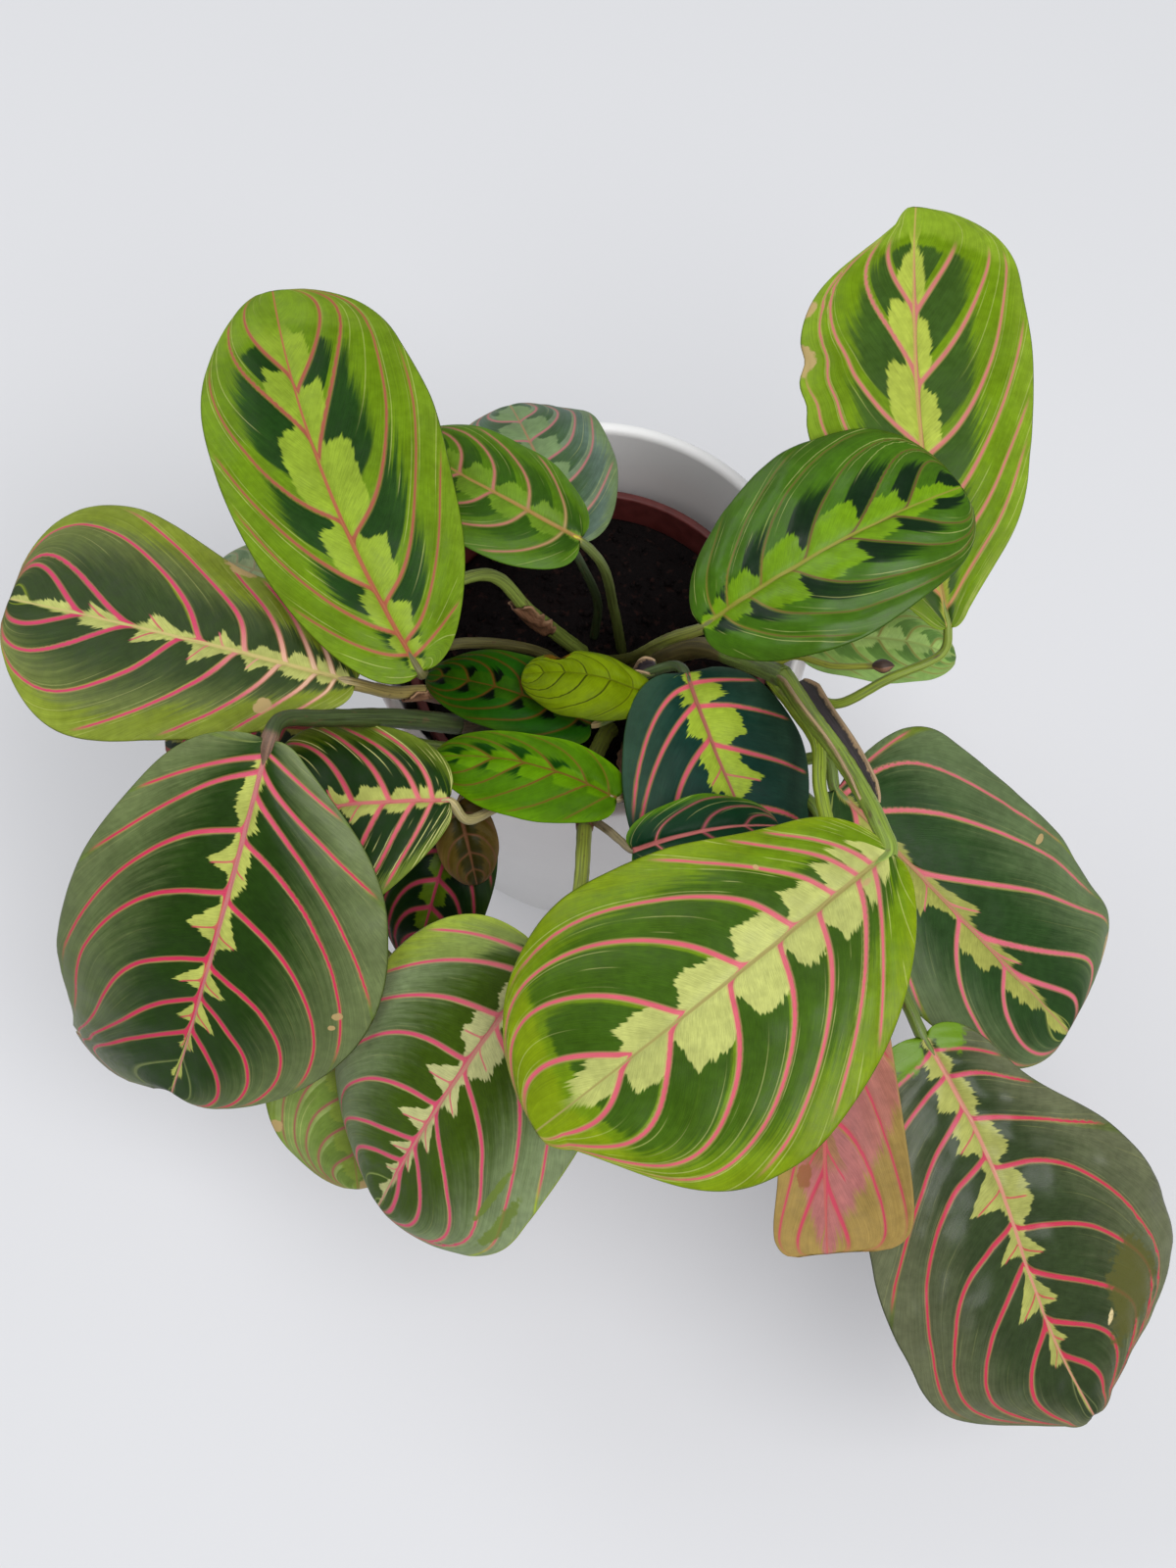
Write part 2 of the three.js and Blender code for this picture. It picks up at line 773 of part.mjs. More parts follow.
const plant = new THREE.Group();
plant.add(named("outer_pot", whitePot(), 0xe8e8e6, 0.35));
plant.add(named("nursery_pot", nurseryPot(), 0x5a2620, 0.55));
plant.add(named("soil", soilPlug(), 0x17110d, 0.95));
for (const [name, stem] of Object.entries(stems)) plant.add(named(name, stem.solid, 0x6a7d2c, 0.5));
for (const leaf of leaves) plant.add(named(leaf.name, leafSolid(leaf), leaf.color, 0.4));
for (const sheath of DRY_SHEATHS) plant.add(named(sheath.name, drySheathSolid(sheath), 0x8a6647, 0.8));
plant.add(named("flower_stalk", flowerStalkSolid(), 0x6f6a34, 0.6));

export default plant;
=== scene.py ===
"""A potted prayer plant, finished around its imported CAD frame."""

import json
import math

import bpy
import numpy as np
from bpy.props import FloatProperty, FloatVectorProperty
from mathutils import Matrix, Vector, noise


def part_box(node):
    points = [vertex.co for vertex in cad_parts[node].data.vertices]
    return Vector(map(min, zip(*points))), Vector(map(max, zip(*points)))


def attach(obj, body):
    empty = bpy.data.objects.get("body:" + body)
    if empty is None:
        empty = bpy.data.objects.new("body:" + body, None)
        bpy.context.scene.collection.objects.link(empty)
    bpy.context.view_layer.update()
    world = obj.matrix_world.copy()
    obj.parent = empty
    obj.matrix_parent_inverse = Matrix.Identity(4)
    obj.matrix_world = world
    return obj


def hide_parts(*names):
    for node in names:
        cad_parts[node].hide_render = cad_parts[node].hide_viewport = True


bl_info = {
    "name": "Potted prayer plant",
    "version": (1, 0, 0),
    "blender": (4, 5, 0),
    "location": "View3D > Sidebar > Prayer plant",
    "description": "Builds a potted prayer plant with its pots, soil, stems and patterned leaves",
    "category": "Object",
}

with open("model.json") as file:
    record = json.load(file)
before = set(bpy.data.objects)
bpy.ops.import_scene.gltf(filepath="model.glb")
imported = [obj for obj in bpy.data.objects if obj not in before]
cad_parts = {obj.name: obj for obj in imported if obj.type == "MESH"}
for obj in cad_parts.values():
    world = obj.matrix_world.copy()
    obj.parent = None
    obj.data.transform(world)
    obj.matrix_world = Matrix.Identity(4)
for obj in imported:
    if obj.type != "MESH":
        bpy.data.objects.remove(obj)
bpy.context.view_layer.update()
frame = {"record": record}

MM = 0.001
UP = np.array([0.0, 0.0, 1.0])
BODY = "root"

# The photograph's camera, in millimetres and degrees
CAMERA_TARGET = (0.0, -59.0, 125.0)
CAMERA_DISTANCE = 600.0
CAMERA_PITCH = 67.0
CAMERA_LENS = 46.1

# The stage, in metres: where the lights are aimed, how wide they are, and half the width of the floor
LIGHT_TARGET = (0, -0.06, 0.12)
LIGHT_SIZE = 1.7
FLOOR_REACH = 6.0

# What all blades share: the angle in degrees that each half rises at from the midrib, the angle that it
# turns down by on its way to the margin, and the number of the margin's waves
FOLD = 6.0
CURL = 22.0
WAVES = 2.5

# The leaves: the same blades and petiole routes as in the CAD model, in millimetres. arch and sway bow the
# midrib up and to its right, snake bends it both ways, and roll turns it, in degrees. skew makes the right
# half wider than the left. lobe is how far both halves reach back past the base, and ahead how far the left
# and the right half reach on past the tip. full_base and full_tip set how blunt the two ends are, and left
# and right trim each half's width at the edge stations. A nick is (side, place along, share of the half
# width, width along). wave is the height of the margin's waves, quilt how far the blade puffs up between
# veins. veins, sweep and cell place the veins of a leaf that isn't in VEINS: their number, how far they run
# forwards, and the reach of the pattern in each cell.
BLADE = {
    "arch": 6.0,
    "sway": 0.0,
    "snake": 0.0,
    "roll": 0.0,
    "skew": 0.0,
    "lobe": 3.0,
    "ahead": (0, 0),
    "full_base": 0.48,
    "full_tip": 0.56,
    "left": (1, 1, 1, 1, 1, 1),
    "right": (1, 1, 1, 1, 1, 1),
    "nicks": (),
    "wave": 0.8,
    "quilt": 0.5,
    "veins": 8.0,
    "sweep": 0.42,
    "cell": (0.25, 0, 0.9),
}
EDGE_STATIONS = (0.05, 0.2, 0.4, 0.6, 0.8, 0.95)

# LOBE_PEAK brings the peak of a lobe's shape to 1, and a blade's mesh stops TIP_INSET of the length before
# both ends. The groove along the midrib and the rib under it are in millimetres.
LOBE_PEAK = 4.8
TIP_INSET = 0.0008
RIB_GROOVE = 0.7
RIB_HEIGHT = 0.8

LEAVES = {
    "leaf_back_right": dict(
        base=(100, -36, 182), tip=(94, 84, 212), width=67, sway=-5, full_base=0.57, full_tip=0.42,
        left=(0.6, 0.9, 0.94, 0.98, 0.85, 0.3), right=(0.57, 0.94, 1, 1.02, 1.08, 1.3),
        nicks=((-1, 0.62, 0.05, 0.03), (-1, 0.52, 0.04, 0.03)), quilt=0.4, veins=7.5, radius=(1.6, 1.2),
        petiole=[
            (47, -33, 154), (54, -37, 154), (62, -43, 157), (70, -51, 164), (84, -47, 172), (99, -41, 177),
        ],
    ),
    "leaf_upper_right": dict(
        base=(31, -40, 190), tip=(102, -5, 205), width=58, arch=8, sway=0.5, full_base=0.5, full_tip=0.42,
        left=(0.92, 1.02, 1.1, 1.15, 1.22, 1.3), right=(0.85, 0.93, 0.95, 0.9, 0.9, 0.95), quilt=0.9, veins=9,
        radius=(1.8, 1.7), petiole=[(6, -1, 91), (13, -17, 125), (24, -38, 180)],
    ),
    "leaf_low_right": dict(
        base=(63, -23, 150), tip=(110, -24, 140), width=28, veins=5, cell=(0.3, 0, 0.6), radius=(1.4, 1.2),
        petiole=[(41, -27, 147), (48, -22, 147), (57, -21, 149)],
    ),
    "leaf_back_left": dict(
        base=(-46, -49, 180), tip=(-90, 60, 205), width=66, sway=-6, skew=0.1, full_base=0.52, full_tip=0.45,
        left=(0.96, 0.93, 0.93, 0.96, 1, 0.85), right=(0.9, 0.96, 0.97, 1.02, 1.08, 1.26), quilt=0.45,
        veins=7.5, radius=(1.8, 1.6),
        petiole=[(-6, -6, 91), (-14, -9, 112), (-30, -18, 137), (-43, -29, 156), (-46, -43, 172)],
    ),
    "leaf_left": dict(
        base=(-65, -48, 172), tip=(-167, -18, 165), width=73, arch=2, skew=0.07, ahead=(0, 5), full_base=0.5,
        full_tip=0.42, left=(0.65, 0.76, 0.9, 1.05, 1.12, 1), right=(0.7, 0.72, 0.7, 0.9, 1.16, 1.35),
        wave=1.2, veins=9, radius=(2, 1.8),
        petiole=[(-27, -44.6, 135.5), (-36, -41, 144), (-46, -40, 149), (-56, -45, 159)],
    ),
    "leaf_front_left": dict(
        base=(-85, -74, 190), tip=(-121, -148, 104.5), width=98, arch=9, sway=-4, roll=8, skew=-0.04,
        ahead=(0, 36), full_base=0.54, full_tip=0.44, left=(0.55, 0.85, 0.95, 0.93, 0.8, 0.62),
        right=(1, 0.93, 0.97, 1, 1.01, 1.6), nicks=((1, 0.88, 0.05, 0.02),), veins=9, radius=(3.1, 2),
        petiole=[(-38, -49, 146), (-55, -54, 161), (-73, -61, 176), (-83, -67, 187)],
    ),
    "leaf_front_middle": dict(
        base=(-11, -127, 168), tip=(-60, -180, 100), width=77, arch=10, sway=-1, roll=-6, skew=-0.05,
        left=(1, 1, 0.97, 1.01, 1.12, 1), right=(1.25, 1.15, 1.08, 1.1, 1.25, 1.4), radius=(2.2, 1.8),
        petiole=[(-1, -85, 155), (-2, -105, 162), (-4, -119, 168)],
    ),
    "leaf_centre_lime": dict(
        base=(75, -114, 212), tip=(-13, -179, 188), width=88, arch=8, sway=-2, full_base=0.54, full_tip=0.44,
        left=(0.75, 0.88, 0.97, 1.02, 0.88, 0.42), right=(0.9, 0.78, 0.9, 1, 1.07, 1.15), wave=1.2, veins=8.5,
        radius=(2.8, 2.2), petiole=[(56, -42, 163), (61, -60, 176), (67, -80, 192), (73, -106, 210)],
    ),
    "leaf_right": dict(
        base=(71, -70, 148), tip=(142, -129, 102), width=82, arch=8, sway=3, skew=-0.12, lobe=6, ahead=(5, 0),
        full_base=0.45, full_tip=0.42, left=(1.3, 1.04, 0.93, 0.96, 1.06, 1.4),
        right=(0.9, 0.85, 0.82, 0.82, 0.85, 0.9), wave=0.5, veins=8.5, radius=(1.9, 1.7),
        petiole=[(54, -61, 139), (62, -60, 145), (69, -61, 148)],
    ),
    "leaf_front_right": dict(
        base=(91, -144, 150), tip=(143, -236, 85), width=85, sway=1, snake=-2, lobe=6, ahead=(3, 5),
        full_base=0.56, full_tip=0.5, left=(0.65, 0.6, 0.93, 1.12, 1.1, 0.45),
        right=(0.95, 1, 1, 0.98, 0.95, 0.45), wave=1.0, quilt=0.9, veins=9, radius=(1.9, 1.8),
        petiole=[(58, -66, 141), (65, -78, 150.5), (70, -93, 150), (81, -120, 149), (88, -137, 150)],
    ),
    "leaf_hanging": dict(
        base=(69, -107, 168), tip=(64, -199.5, 134), width=40, arch=4, sway=3, roll=180, skew=0.27,
        full_base=0.5, full_tip=0.15, left=(0.95, 0.93, 0.93, 0.93, 0.88, 1.1),
        right=(0.75, 0.77, 0.78, 0.84, 0.92, 1), wave=0.6, quilt=0.4, veins=6, radius=(2.2, 1.7),
        petiole=[(53, -40, 158), (59, -52, 162), (64, -64, 166), (64, -78, 167), (67, -94, 166)],
    ),
    "leaf_centre_dark": dict(
        base=(28, -43, 168), tip=(55, -102, 145), width=57, sway=3, roll=12, skew=0.14, full_base=0.4,
        left=(1.1, 1.12, 1.13, 1.12, 1.1, 1), right=(0.7, 0.78, 0.92, 1.05, 1.1, 1), wave=0.4, veins=6.5,
        radius=(1.8, 1.5), petiole=[(11, -17, 91), (10, -28, 125), (14, -38, 154), (25, -39, 164)],
    ),
    "leaf_small_green": dict(
        base=(8, -81, 167), tip=(-44, -65, 158), width=27, sway=2, left=(1.05, 1.1, 1.2, 1.2, 1.15, 1.1),
        right=(0.95, 0.85, 0.75, 0.7, 0.75, 0.9), wave=0.6, quilt=0.6, veins=6, radius=(1.6, 1.3),
        petiole=[(12, -31, 91), (11, -55, 133), (12, -75, 160)],
    ),
    "leaf_small_yellow": dict(
        base=(16, -49, 168), tip=(-19, -42, 164), width=27, left=(0.9, 0.95, 0.98, 1, 0.95, 0.9),
        right=(0.6, 0.5, 0.55, 0.6, 0.6, 0.9), nicks=((1, 0.68, 0.4, 0.07),), wave=0.5, quilt=0.7, veins=5,
        cell=(0, 0, 0), radius=(1.4, 1.3), petiole=[(17, -18, 91), (20, -38, 130), (20, -48, 160)],
    ),
    "leaf_inner_left": dict(
        base=(1, -53, 155), tip=(-47, -36, 152), width=26, wave=0.5, veins=5.5, cell=(0.3, 0, 0.42),
        radius=(1.6, 1.3), petiole=[(5, -15, 91), (7, -36, 125), (6, -49, 150)],
    ),
    "leaf_back_inner": dict(
        base=(-2, -4, 175), tip=(-56, 28, 178), width=38, sway=-3, veins=5, cell=(0.3, 0, 0.7),
        radius=(1.7, 1.4), petiole=[(11, 3, 91), (8, 0, 125), (3, -6, 167)],
    ),
    "leaf_back_outer": dict(
        base=(-5, 6, 155), tip=(-25, 68, 135), width=50, full_base=0.5, full_tip=0.45,
        right=(0.9, 0.93, 0.95, 0.95, 0.95, 0.75), wave=1.4, veins=5, cell=(0.35, 0, 0.85), radius=(1.5, 1.3),
        petiole=[(2, 8, 91), (3, 6, 118), (-2, 3, 148)],
    ),
    "leaf_left_inner": dict(
        base=(-38, -82, 168), tip=(-101, -82, 149), width=51, arch=5, left=(0.7, 0.97, 1.2, 1.3, 1.3, 1.2),
        right=(0.95, 0.97, 1, 1.1, 1.1, 1), veins=7, radius=(1.6, 1.4),
        petiole=[(-7, -33, 91), (-15, -60, 133), (-27, -80, 156), (-34, -86, 164)],
    ),
    "leaf_left_low": dict(
        base=(-77, -49, 142), tip=(-126, -48, 132), width=33, veins=6, radius=(1.5, 1.3),
        petiole=[(-23, -43, 132), (-33, -52, 137), (-45, -53, 140), (-62, -50, 142)],
    ),
    "leaf_front_dark": dict(
        base=(-36, -72, 140), tip=(-51, -111, 105), width=33, veins=5.5, radius=(1.5, 1.3),
        petiole=[(-14, -24, 91), (-15, -48, 121), (-25, -65, 137)],
    ),
    "leaf_small_brown": dict(
        base=(-37, -76, 151), tip=(-32, -94, 133), width=18, arch=3, wave=0.5, veins=4, cell=(0, 0, 0.4),
        radius=(1.1, 1), petiole=[(-20, -30, 91), (-24, -50, 125), (-33, -67, 145)],
    ),
    "leaf_front_low": dict(
        base=(-72, -107, 122), tip=(-69, -170, 75), width=48, right=(1, 1, 1.05, 1.1, 1.15, 1.2), wave=1.6,
        veins=7, radius=(1.6, 1.4),
        petiole=[(-16, -34, 91), (-30, -64, 130), (-48, -78, 122), (-62, -93, 118)],
    ),
    "leaf_folded": dict(
        base=(12, -100, 176), tip=(52, -91, 171), width=22, veins=3, sweep=0.7, cell=(0, 0, 0.8),
        radius=(1.3, 1.1), petiole=[(0, -80, 151), (6, -89, 162), (9, -95, 170)],
    ),
    "leaf_back_low": dict(
        base=(-73, -15, 150), tip=(-112, 7, 142), width=28, veins=6, radius=(2.6, 1.4),
        petiole=[(-2, 2, 91), (-18, -1, 125), (-30, 1, 145), (-52, -11, 152)],
    ),
}

# The veins on the left and on the right of each large leaf's midrib, read from the photo. A vein is
# its place along the midrib where it starts, halfway out and near the margin, and then, for the cell between
# it and the next vein, how far out the pale feather, its middle spike and the dark patch reach. A place or a
# reach over 1 lies past the tip or the margin.
VEINS = {
    "leaf_centre_lime": (
        [(0.04, 0.12, 0.26, 0.4, 0, 0.6), (0.085, 0.185, 0.39, 0.36, 0, 0.75),
         (0.2, 0.315, 0.56, 0.28, 0, 0.8), (0.31, 0.435, 0.72, 0.3, 0, 0.75), (0.447, 0.6, 0.86, 0.3, 0, 0.7),
         (0.605, 0.8, 0.97, 0.22, 0, 0.55), (0.737, 0.95, 1.15, 0.15, 0, 0.35)],
        [(0.045, 0.09, 0.17, 0.5, 0, 0.3), (0.085, 0.14, 0.235, 0.4, 0, 0.45),
         (0.15, 0.225, 0.37, 0.32, 0, 0.7), (0.263, 0.365, 0.71, 0.25, 0, 0.75),
         (0.4, 0.56, 0.86, 0.2, 0, 0.8), (0.566, 0.76, 1, 0.18, 0, 0.6), (0.7, 1, 1.3, 0.15, 0, 0.35)],
    ),
    "leaf_front_left": (
        [(0.02, 0.055, 0.12, 0.1, 0, 1.1), (0.046, 0.16, 0.26, 0.1, 0, 1.1),
         (0.105, 0.263, 0.46, 0.1, 0, 1.1), (0.217, 0.36, 0.6, 0.1, 0.1, 1.1),
         (0.375, 0.513, 0.717, 0.04, 0.15, 1.1), (0.56, 0.66, 0.84, 0.03, 0.16, 1.1),
         (0.65, 0.78, 0.915, 0.03, 0.18, 1.1), (0.75, 0.88, 0.975, 0.02, 0.08, 1.1)],
        [(0.03, 0.08, 0.17, 0.12, 0, 1.1), (0.06, 0.145, 0.31, 0.17, 0, 1.1),
         (0.197, 0.285, 0.53, 0.08, 0.22, 1.1), (0.355, 0.44, 0.66, 0.04, 0.2, 1.1),
         (0.54, 0.64, 0.84, 0.03, 0.18, 1.1), (0.655, 0.78, 0.93, 0.03, 0.12, 1.1),
         (0.757, 0.88, 0.97, 0.02, 0.06, 1.1)],
    ),
    "leaf_front_middle": (
        [(0.1, 0.2, 0.42, 0.15, 0, 1.1), (0.215, 0.345, 0.65, 0.2, 0.2, 1.1),
         (0.37, 0.55, 0.85, 0.06, 0.17, 1.1), (0.53, 0.734, 0.89, 0.05, 0.16, 1.1),
         (0.67, 0.88, 1.05, 0.04, 0.1, 1.1), (0.767, 1.05, 1.2, 0.04, 0.05, 1.1)],
        [(0.01, 0.045, 0.14, 0.1, 0, 0.5), (0.05, 0.142, 0.31, 0.15, 0, 1.1),
         (0.188, 0.287, 0.445, 0.18, 0.2, 1.1), (0.346, 0.43, 0.63, 0.05, 0.24, 1.1),
         (0.517, 0.616, 0.826, 0.05, 0.24, 1.1), (0.658, 0.787, 0.89, 0.05, 0.18, 1.1),
         (0.754, 0.88, 1, 0.05, 0.15, 1.1)],
    ),
    "leaf_front_right": (
        [(0.03, 0.065, 0.13, 0.25, 0, 1.1), (0.095, 0.135, 0.207, 0.25, 0, 1.1),
         (0.2, 0.263, 0.355, 0.25, 0, 1.1), (0.32, 0.4, 0.737, 0.2, 0.2, 1.1),
         (0.467, 0.58, 0.82, 0.04, 0.15, 1.1), (0.566, 0.74, 0.88, 0.03, 0.12, 1.1),
         (0.7, 0.84, 0.94, 0.03, 0.08, 1.1), (0.8, 0.92, 0.98, 0.02, 0, 1.1)],
        [(0.03, 0.07, 0.12, 0.25, 0, 1.1), (0.09, 0.15, 0.25, 0.25, 0, 1.1),
         (0.165, 0.283, 0.45, 0.2, 0.25, 1.1), (0.283, 0.385, 0.66, 0.08, 0.28, 1.1),
         (0.454, 0.55, 0.79, 0.05, 0.18, 1.1), (0.546, 0.7, 0.88, 0.04, 0.2, 1.1),
         (0.704, 0.85, 0.95, 0.03, 0.15, 1.1)],
    ),
    "leaf_right": (
        [(0, 0.01, 0.05, 0.06, 0, 1.1), (0.02, 0.06, 0.39, 0.06, 0, 1.1), (0.07, 0.3, 0.665, 0.06, 0, 1.1),
         (0.29, 0.61, 0.845, 0.06, 0.15, 1.1), (0.545, 0.884, 0.955, 0.05, 0.11, 1.1),
         (0.7, 1.1, 1.25, 0.04, 0, 1.1)],
        [(0.05, 0.2, 0.3, 0.15, 0, 1.1), (0.21, 0.35, 0.525, 0.18, 0.3, 1.1),
         (0.475, 0.613, 0.85, 0.25, 0, 1.1), (0.67, 0.82, 1.1, 0.2, 0, 1.1)],
    ),
    "leaf_left": (
        [(0.05, 0.07, 0.155, 0.3, 0, 0.5), (0.1, 0.15, 0.25, 0.25, 0, 0.6),
         (0.2, 0.269, 0.4, 0.13, 0.25, 0.7), (0.32, 0.427, 0.615, 0.08, 0.27, 0.8),
         (0.48, 0.636, 0.88, 0.05, 0.18, 1.1), (0.62, 0.861, 0.975, 0.1, 0, 1.1),
         (0.77, 1, 1.15, 0.04, 0, 1.1)],
        [(0.05, 0.13, 0.245, 0.25, 0, 0.4), (0.1, 0.195, 0.31, 0.22, 0, 0.5),
         (0.185, 0.275, 0.4, 0.14, 0, 0.6), (0.3, 0.389, 0.64, 0.07, 0.2, 0.75),
         (0.42, 0.585, 0.95, 0.06, 0.16, 1.1), (0.62, 0.92, 0.985, 0.06, 0.12, 1.1),
         (0.775, 0.965, 1, 0.08, 0, 1.1)],
    ),
    "leaf_back_right": (
        [(0.05, 0.17, 0.46, 0.25, 0, 0.55), (0.15, 0.32, 0.735, 0.25, 0, 0.55),
         (0.39, 0.566, 0.785, 0.26, 0, 0.55), (0.56, 0.79, 0.862, 0.24, 0, 0.55),
         (0.72, 0.88, 0.92, 0.2, 0, 0.5)],
        [(0.03, 0.095, 0.31, 0.2, 0, 0.4), (0.12, 0.23, 0.435, 0.2, 0, 0.4),
         (0.22, 0.368, 0.62, 0.18, 0, 0.5), (0.36, 0.526, 0.835, 0.18, 0, 0.5),
         (0.53, 0.74, 0.98, 0.14, 0, 0.5), (0.7, 0.95, 1.15, 0.1, 0, 0.4)],
    ),
    "leaf_back_left": (
        [(0.04, 0.09, 0.215, 0.25, 0, 0.3), (0.085, 0.205, 0.42, 0.25, 0, 0.5),
         (0.195, 0.362, 0.566, 0.3, 0, 0.55), (0.37, 0.533, 0.76, 0.32, 0, 0.6),
         (0.59, 0.8, 0.885, 0.3, 0, 0.6), (0.75, 0.9, 0.95, 0.5, 0, 0.5)],
        [(0.035, 0.06, 0.105, 0.3, 0, 0.3), (0.065, 0.135, 0.37, 0.3, 0, 0.6),
         (0.155, 0.29, 0.63, 0.3, 0, 0.6), (0.315, 0.507, 0.95, 0.28, 0, 0.5),
         (0.52, 0.84, 1.05, 0.22, 0, 0.42), (0.7, 0.95, 1.2, 0.2, 0, 0.2)],
    ),
    "leaf_upper_right": (
        [(0.05, 0.08, 0.2, 0.28, 0, 0.3), (0.09, 0.2, 0.465, 0.28, 0, 0.5),
         (0.215, 0.386, 0.71, 0.28, 0, 0.52), (0.38, 0.63, 0.92, 0.28, 0, 0.5),
         (0.555, 0.84, 0.97, 0.2, 0, 0.45), (0.77, 0.94, 1, 0.15, 0, 0.4)],
        [(0.07, 0.142, 0.35, 0.3, 0, 0.5), (0.165, 0.293, 0.66, 0.4, 0, 0.62),
         (0.325, 0.53, 0.87, 0.35, 0, 0.55), (0.535, 0.77, 0.95, 0.22, 0, 0.48),
         (0.7, 0.9, 1, 0.15, 0, 0.35)],
    ),
    "leaf_centre_dark": (
        [(0.045, 0.068, 0.105, 0.42, 0, 1.1), (0.14, 0.204, 0.29, 0.4, 0, 1.1),
         (0.3, 0.447, 0.56, 0.25, 0.4, 1.1), (0.57, 0.7, 0.8, 0.2, 0, 1.1), (0.72, 0.85, 0.93, 0.1, 0, 1.1)],
        [(0.045, 0.118, 0.36, 0.26, 0, 1.1), (0.115, 0.263, 0.465, 0.27, 0, 1.1),
         (0.27, 0.454, 0.72, 0.2, 0.22, 1.1), (0.53, 0.75, 0.95, 0.15, 0, 1.1),
         (0.72, 0.9, 1.1, 0.1, 0, 1.1)],
    ),
    "leaf_left_inner": (
        [(0.06, 0.125, 0.24, 0.2, 0, 0.85), (0.13, 0.237, 0.35, 0.18, 0, 0.9),
         (0.26, 0.375, 0.47, 0.15, 0.23, 0.9), (0.46, 0.6, 0.72, 0.1, 0.2, 0.9),
         (0.65, 0.8, 0.9, 0.1, 0, 0.9)],
        [(0.06, 0.118, 0.28, 0.25, 0, 0.7), (0.11, 0.217, 0.42, 0.2, 0, 0.75),
         (0.235, 0.355, 0.53, 0.2, 0, 0.75), (0.39, 0.526, 0.697, 0.12, 0.23, 0.75),
         (0.56, 0.69, 0.83, 0.1, 0, 0.8), (0.72, 0.83, 0.95, 0.1, 0, 0.8)],
    ),
    "leaf_small_green": (
        [(0.02, 0.1, 0.2, 0.3, 0, 0), (0.13, 0.27, 0.45, 0.3, 0, 0), (0.3, 0.47, 0.66, 0.3, 0, 0.3),
         (0.47, 0.66, 0.85, 0.3, 0, 0.3), (0.64, 0.83, 1, 0.3, 0, 0.3)],
        [(0.03, 0.1, 0.22, 0.2, 0, 0), (0.14, 0.28, 0.47, 0.2, 0, 0.3), (0.31, 0.48, 0.67, 0.25, 0, 0.48),
         (0.48, 0.67, 0.86, 0.25, 0, 0.48), (0.65, 0.84, 1, 0.2, 0, 0.4)],
    ),
    "leaf_hanging": (
        [(0.1, 0.2, 0.4, 0.1, 0, 1.1), (0.35, 0.45, 0.65, 0.1, 0, 1.1), (0.6, 0.7, 0.9, 0.3, 0.45, 1.1),
         (0.75, 0.93, 1.1, 0.2, 0, 1.1)],
        [(0.1, 0.15, 0.25, 0.1, 0, 1.1), (0.3, 0.36, 0.44, 0.1, 0, 1.1), (0.45, 0.52, 0.8, 0.1, 0, 1.1),
         (0.6, 0.75, 1.2, 0.12, 0.3, 1.1), (0.76, 1.1, 1.3, 0.1, 0, 1.1)],
    ),
}

# How far out the two outer places were read, and the least distance between two veins along the blade
READ_AT = (0.5, 0.85)
LEAST_GAP = 0.025

# The stems: their radius at both ends and their route
STEMS = {
    "stem_left": ((3.2, 2.6), [(-3, -22, 91), (-12, -33, 112), (-23, -43, 132), (-38, -49, 146)]),
    "stem_right": (
        (3.5, 3.0), [(12, -9, 91), (19, -15, 116), (34, -20, 138), (46, -32, 153), (56, -42, 163)]
    ),
    "stem_low_right": ((3.0, 2.6), [(27, -22, 91), (37, -41, 121), (48, -54, 135), (58, -66, 141)]),
    "stem_front": ((2.8, 2.4), [(7, -26, 91), (1, -55, 128), (-1, -85, 155)]),
}
ROOTING_DEPTH = 10.0

# The open green sheaths that two petioles grow out of, and the dried ones that lie against three others.
# opening is the gap in the curl, in degrees, spine the way that the middle of its back faces, and ends the
# shares of the petiole that it starts and stops at.
OPEN_SHEATHS = {
    "leaf_centre_lime": dict(
        size=(5.4, 3.4), wall=0.6, opening=190, spine=(-0.25, -0.6, -0.75), ends=(0.04, 0.9)
    ),
    "leaf_centre_dark": dict(
        size=(2.4, 3.2), wall=0.6, opening=140, spine=(0, -0.4, -1), ends=(0.6, 0.92)
    ),
}
DRY_SHEATHS = {
    "dry_sheath_left": dict(
        leaf="leaf_left", size=(3.0, 3.4), wall=0.5, opening=200, spine=(0, -1, -0.6), ends=(0.5, 0.88)
    ),
    "dry_sheath_back": dict(
        leaf="leaf_back_low", size=(4.5, 3.8), wall=0.5, opening=200, spine=(-0.6, -1, 0), ends=(0.3, 0.52)
    ),
    "dry_sheath_middle": dict(
        leaf="leaf_small_green", size=(3.2, 2.6), wall=0.5, opening=170, spine=(-1, -0.3, 0),
        ends=(0.55, 0.85),
    ),
}
CLEARANCE = 0.3
SHEATH_ARCS = 22

FLOWER_ROUTE = [(52, -38, 159), (58, -37, 166), (69, -43, 172), (80, -46, 178)]
FLOWER_RADIUS = (1.1, 0.9)
BUD_LENGTH = 7.0
BUD_RADIUS = 1.9

# The mesh of the soil, its foot as a share of its radius, and the number of loose crumbs
SOIL_RINGS = 56
SOIL_SPOKES = 150
SOIL_FOOT = 0.76
CRUMBS = 900

# The sheen that every leaf has on top of its paint, as a linear colour
LEAF_SHEEN = 0.011
LEAST_PAINT = 0.001

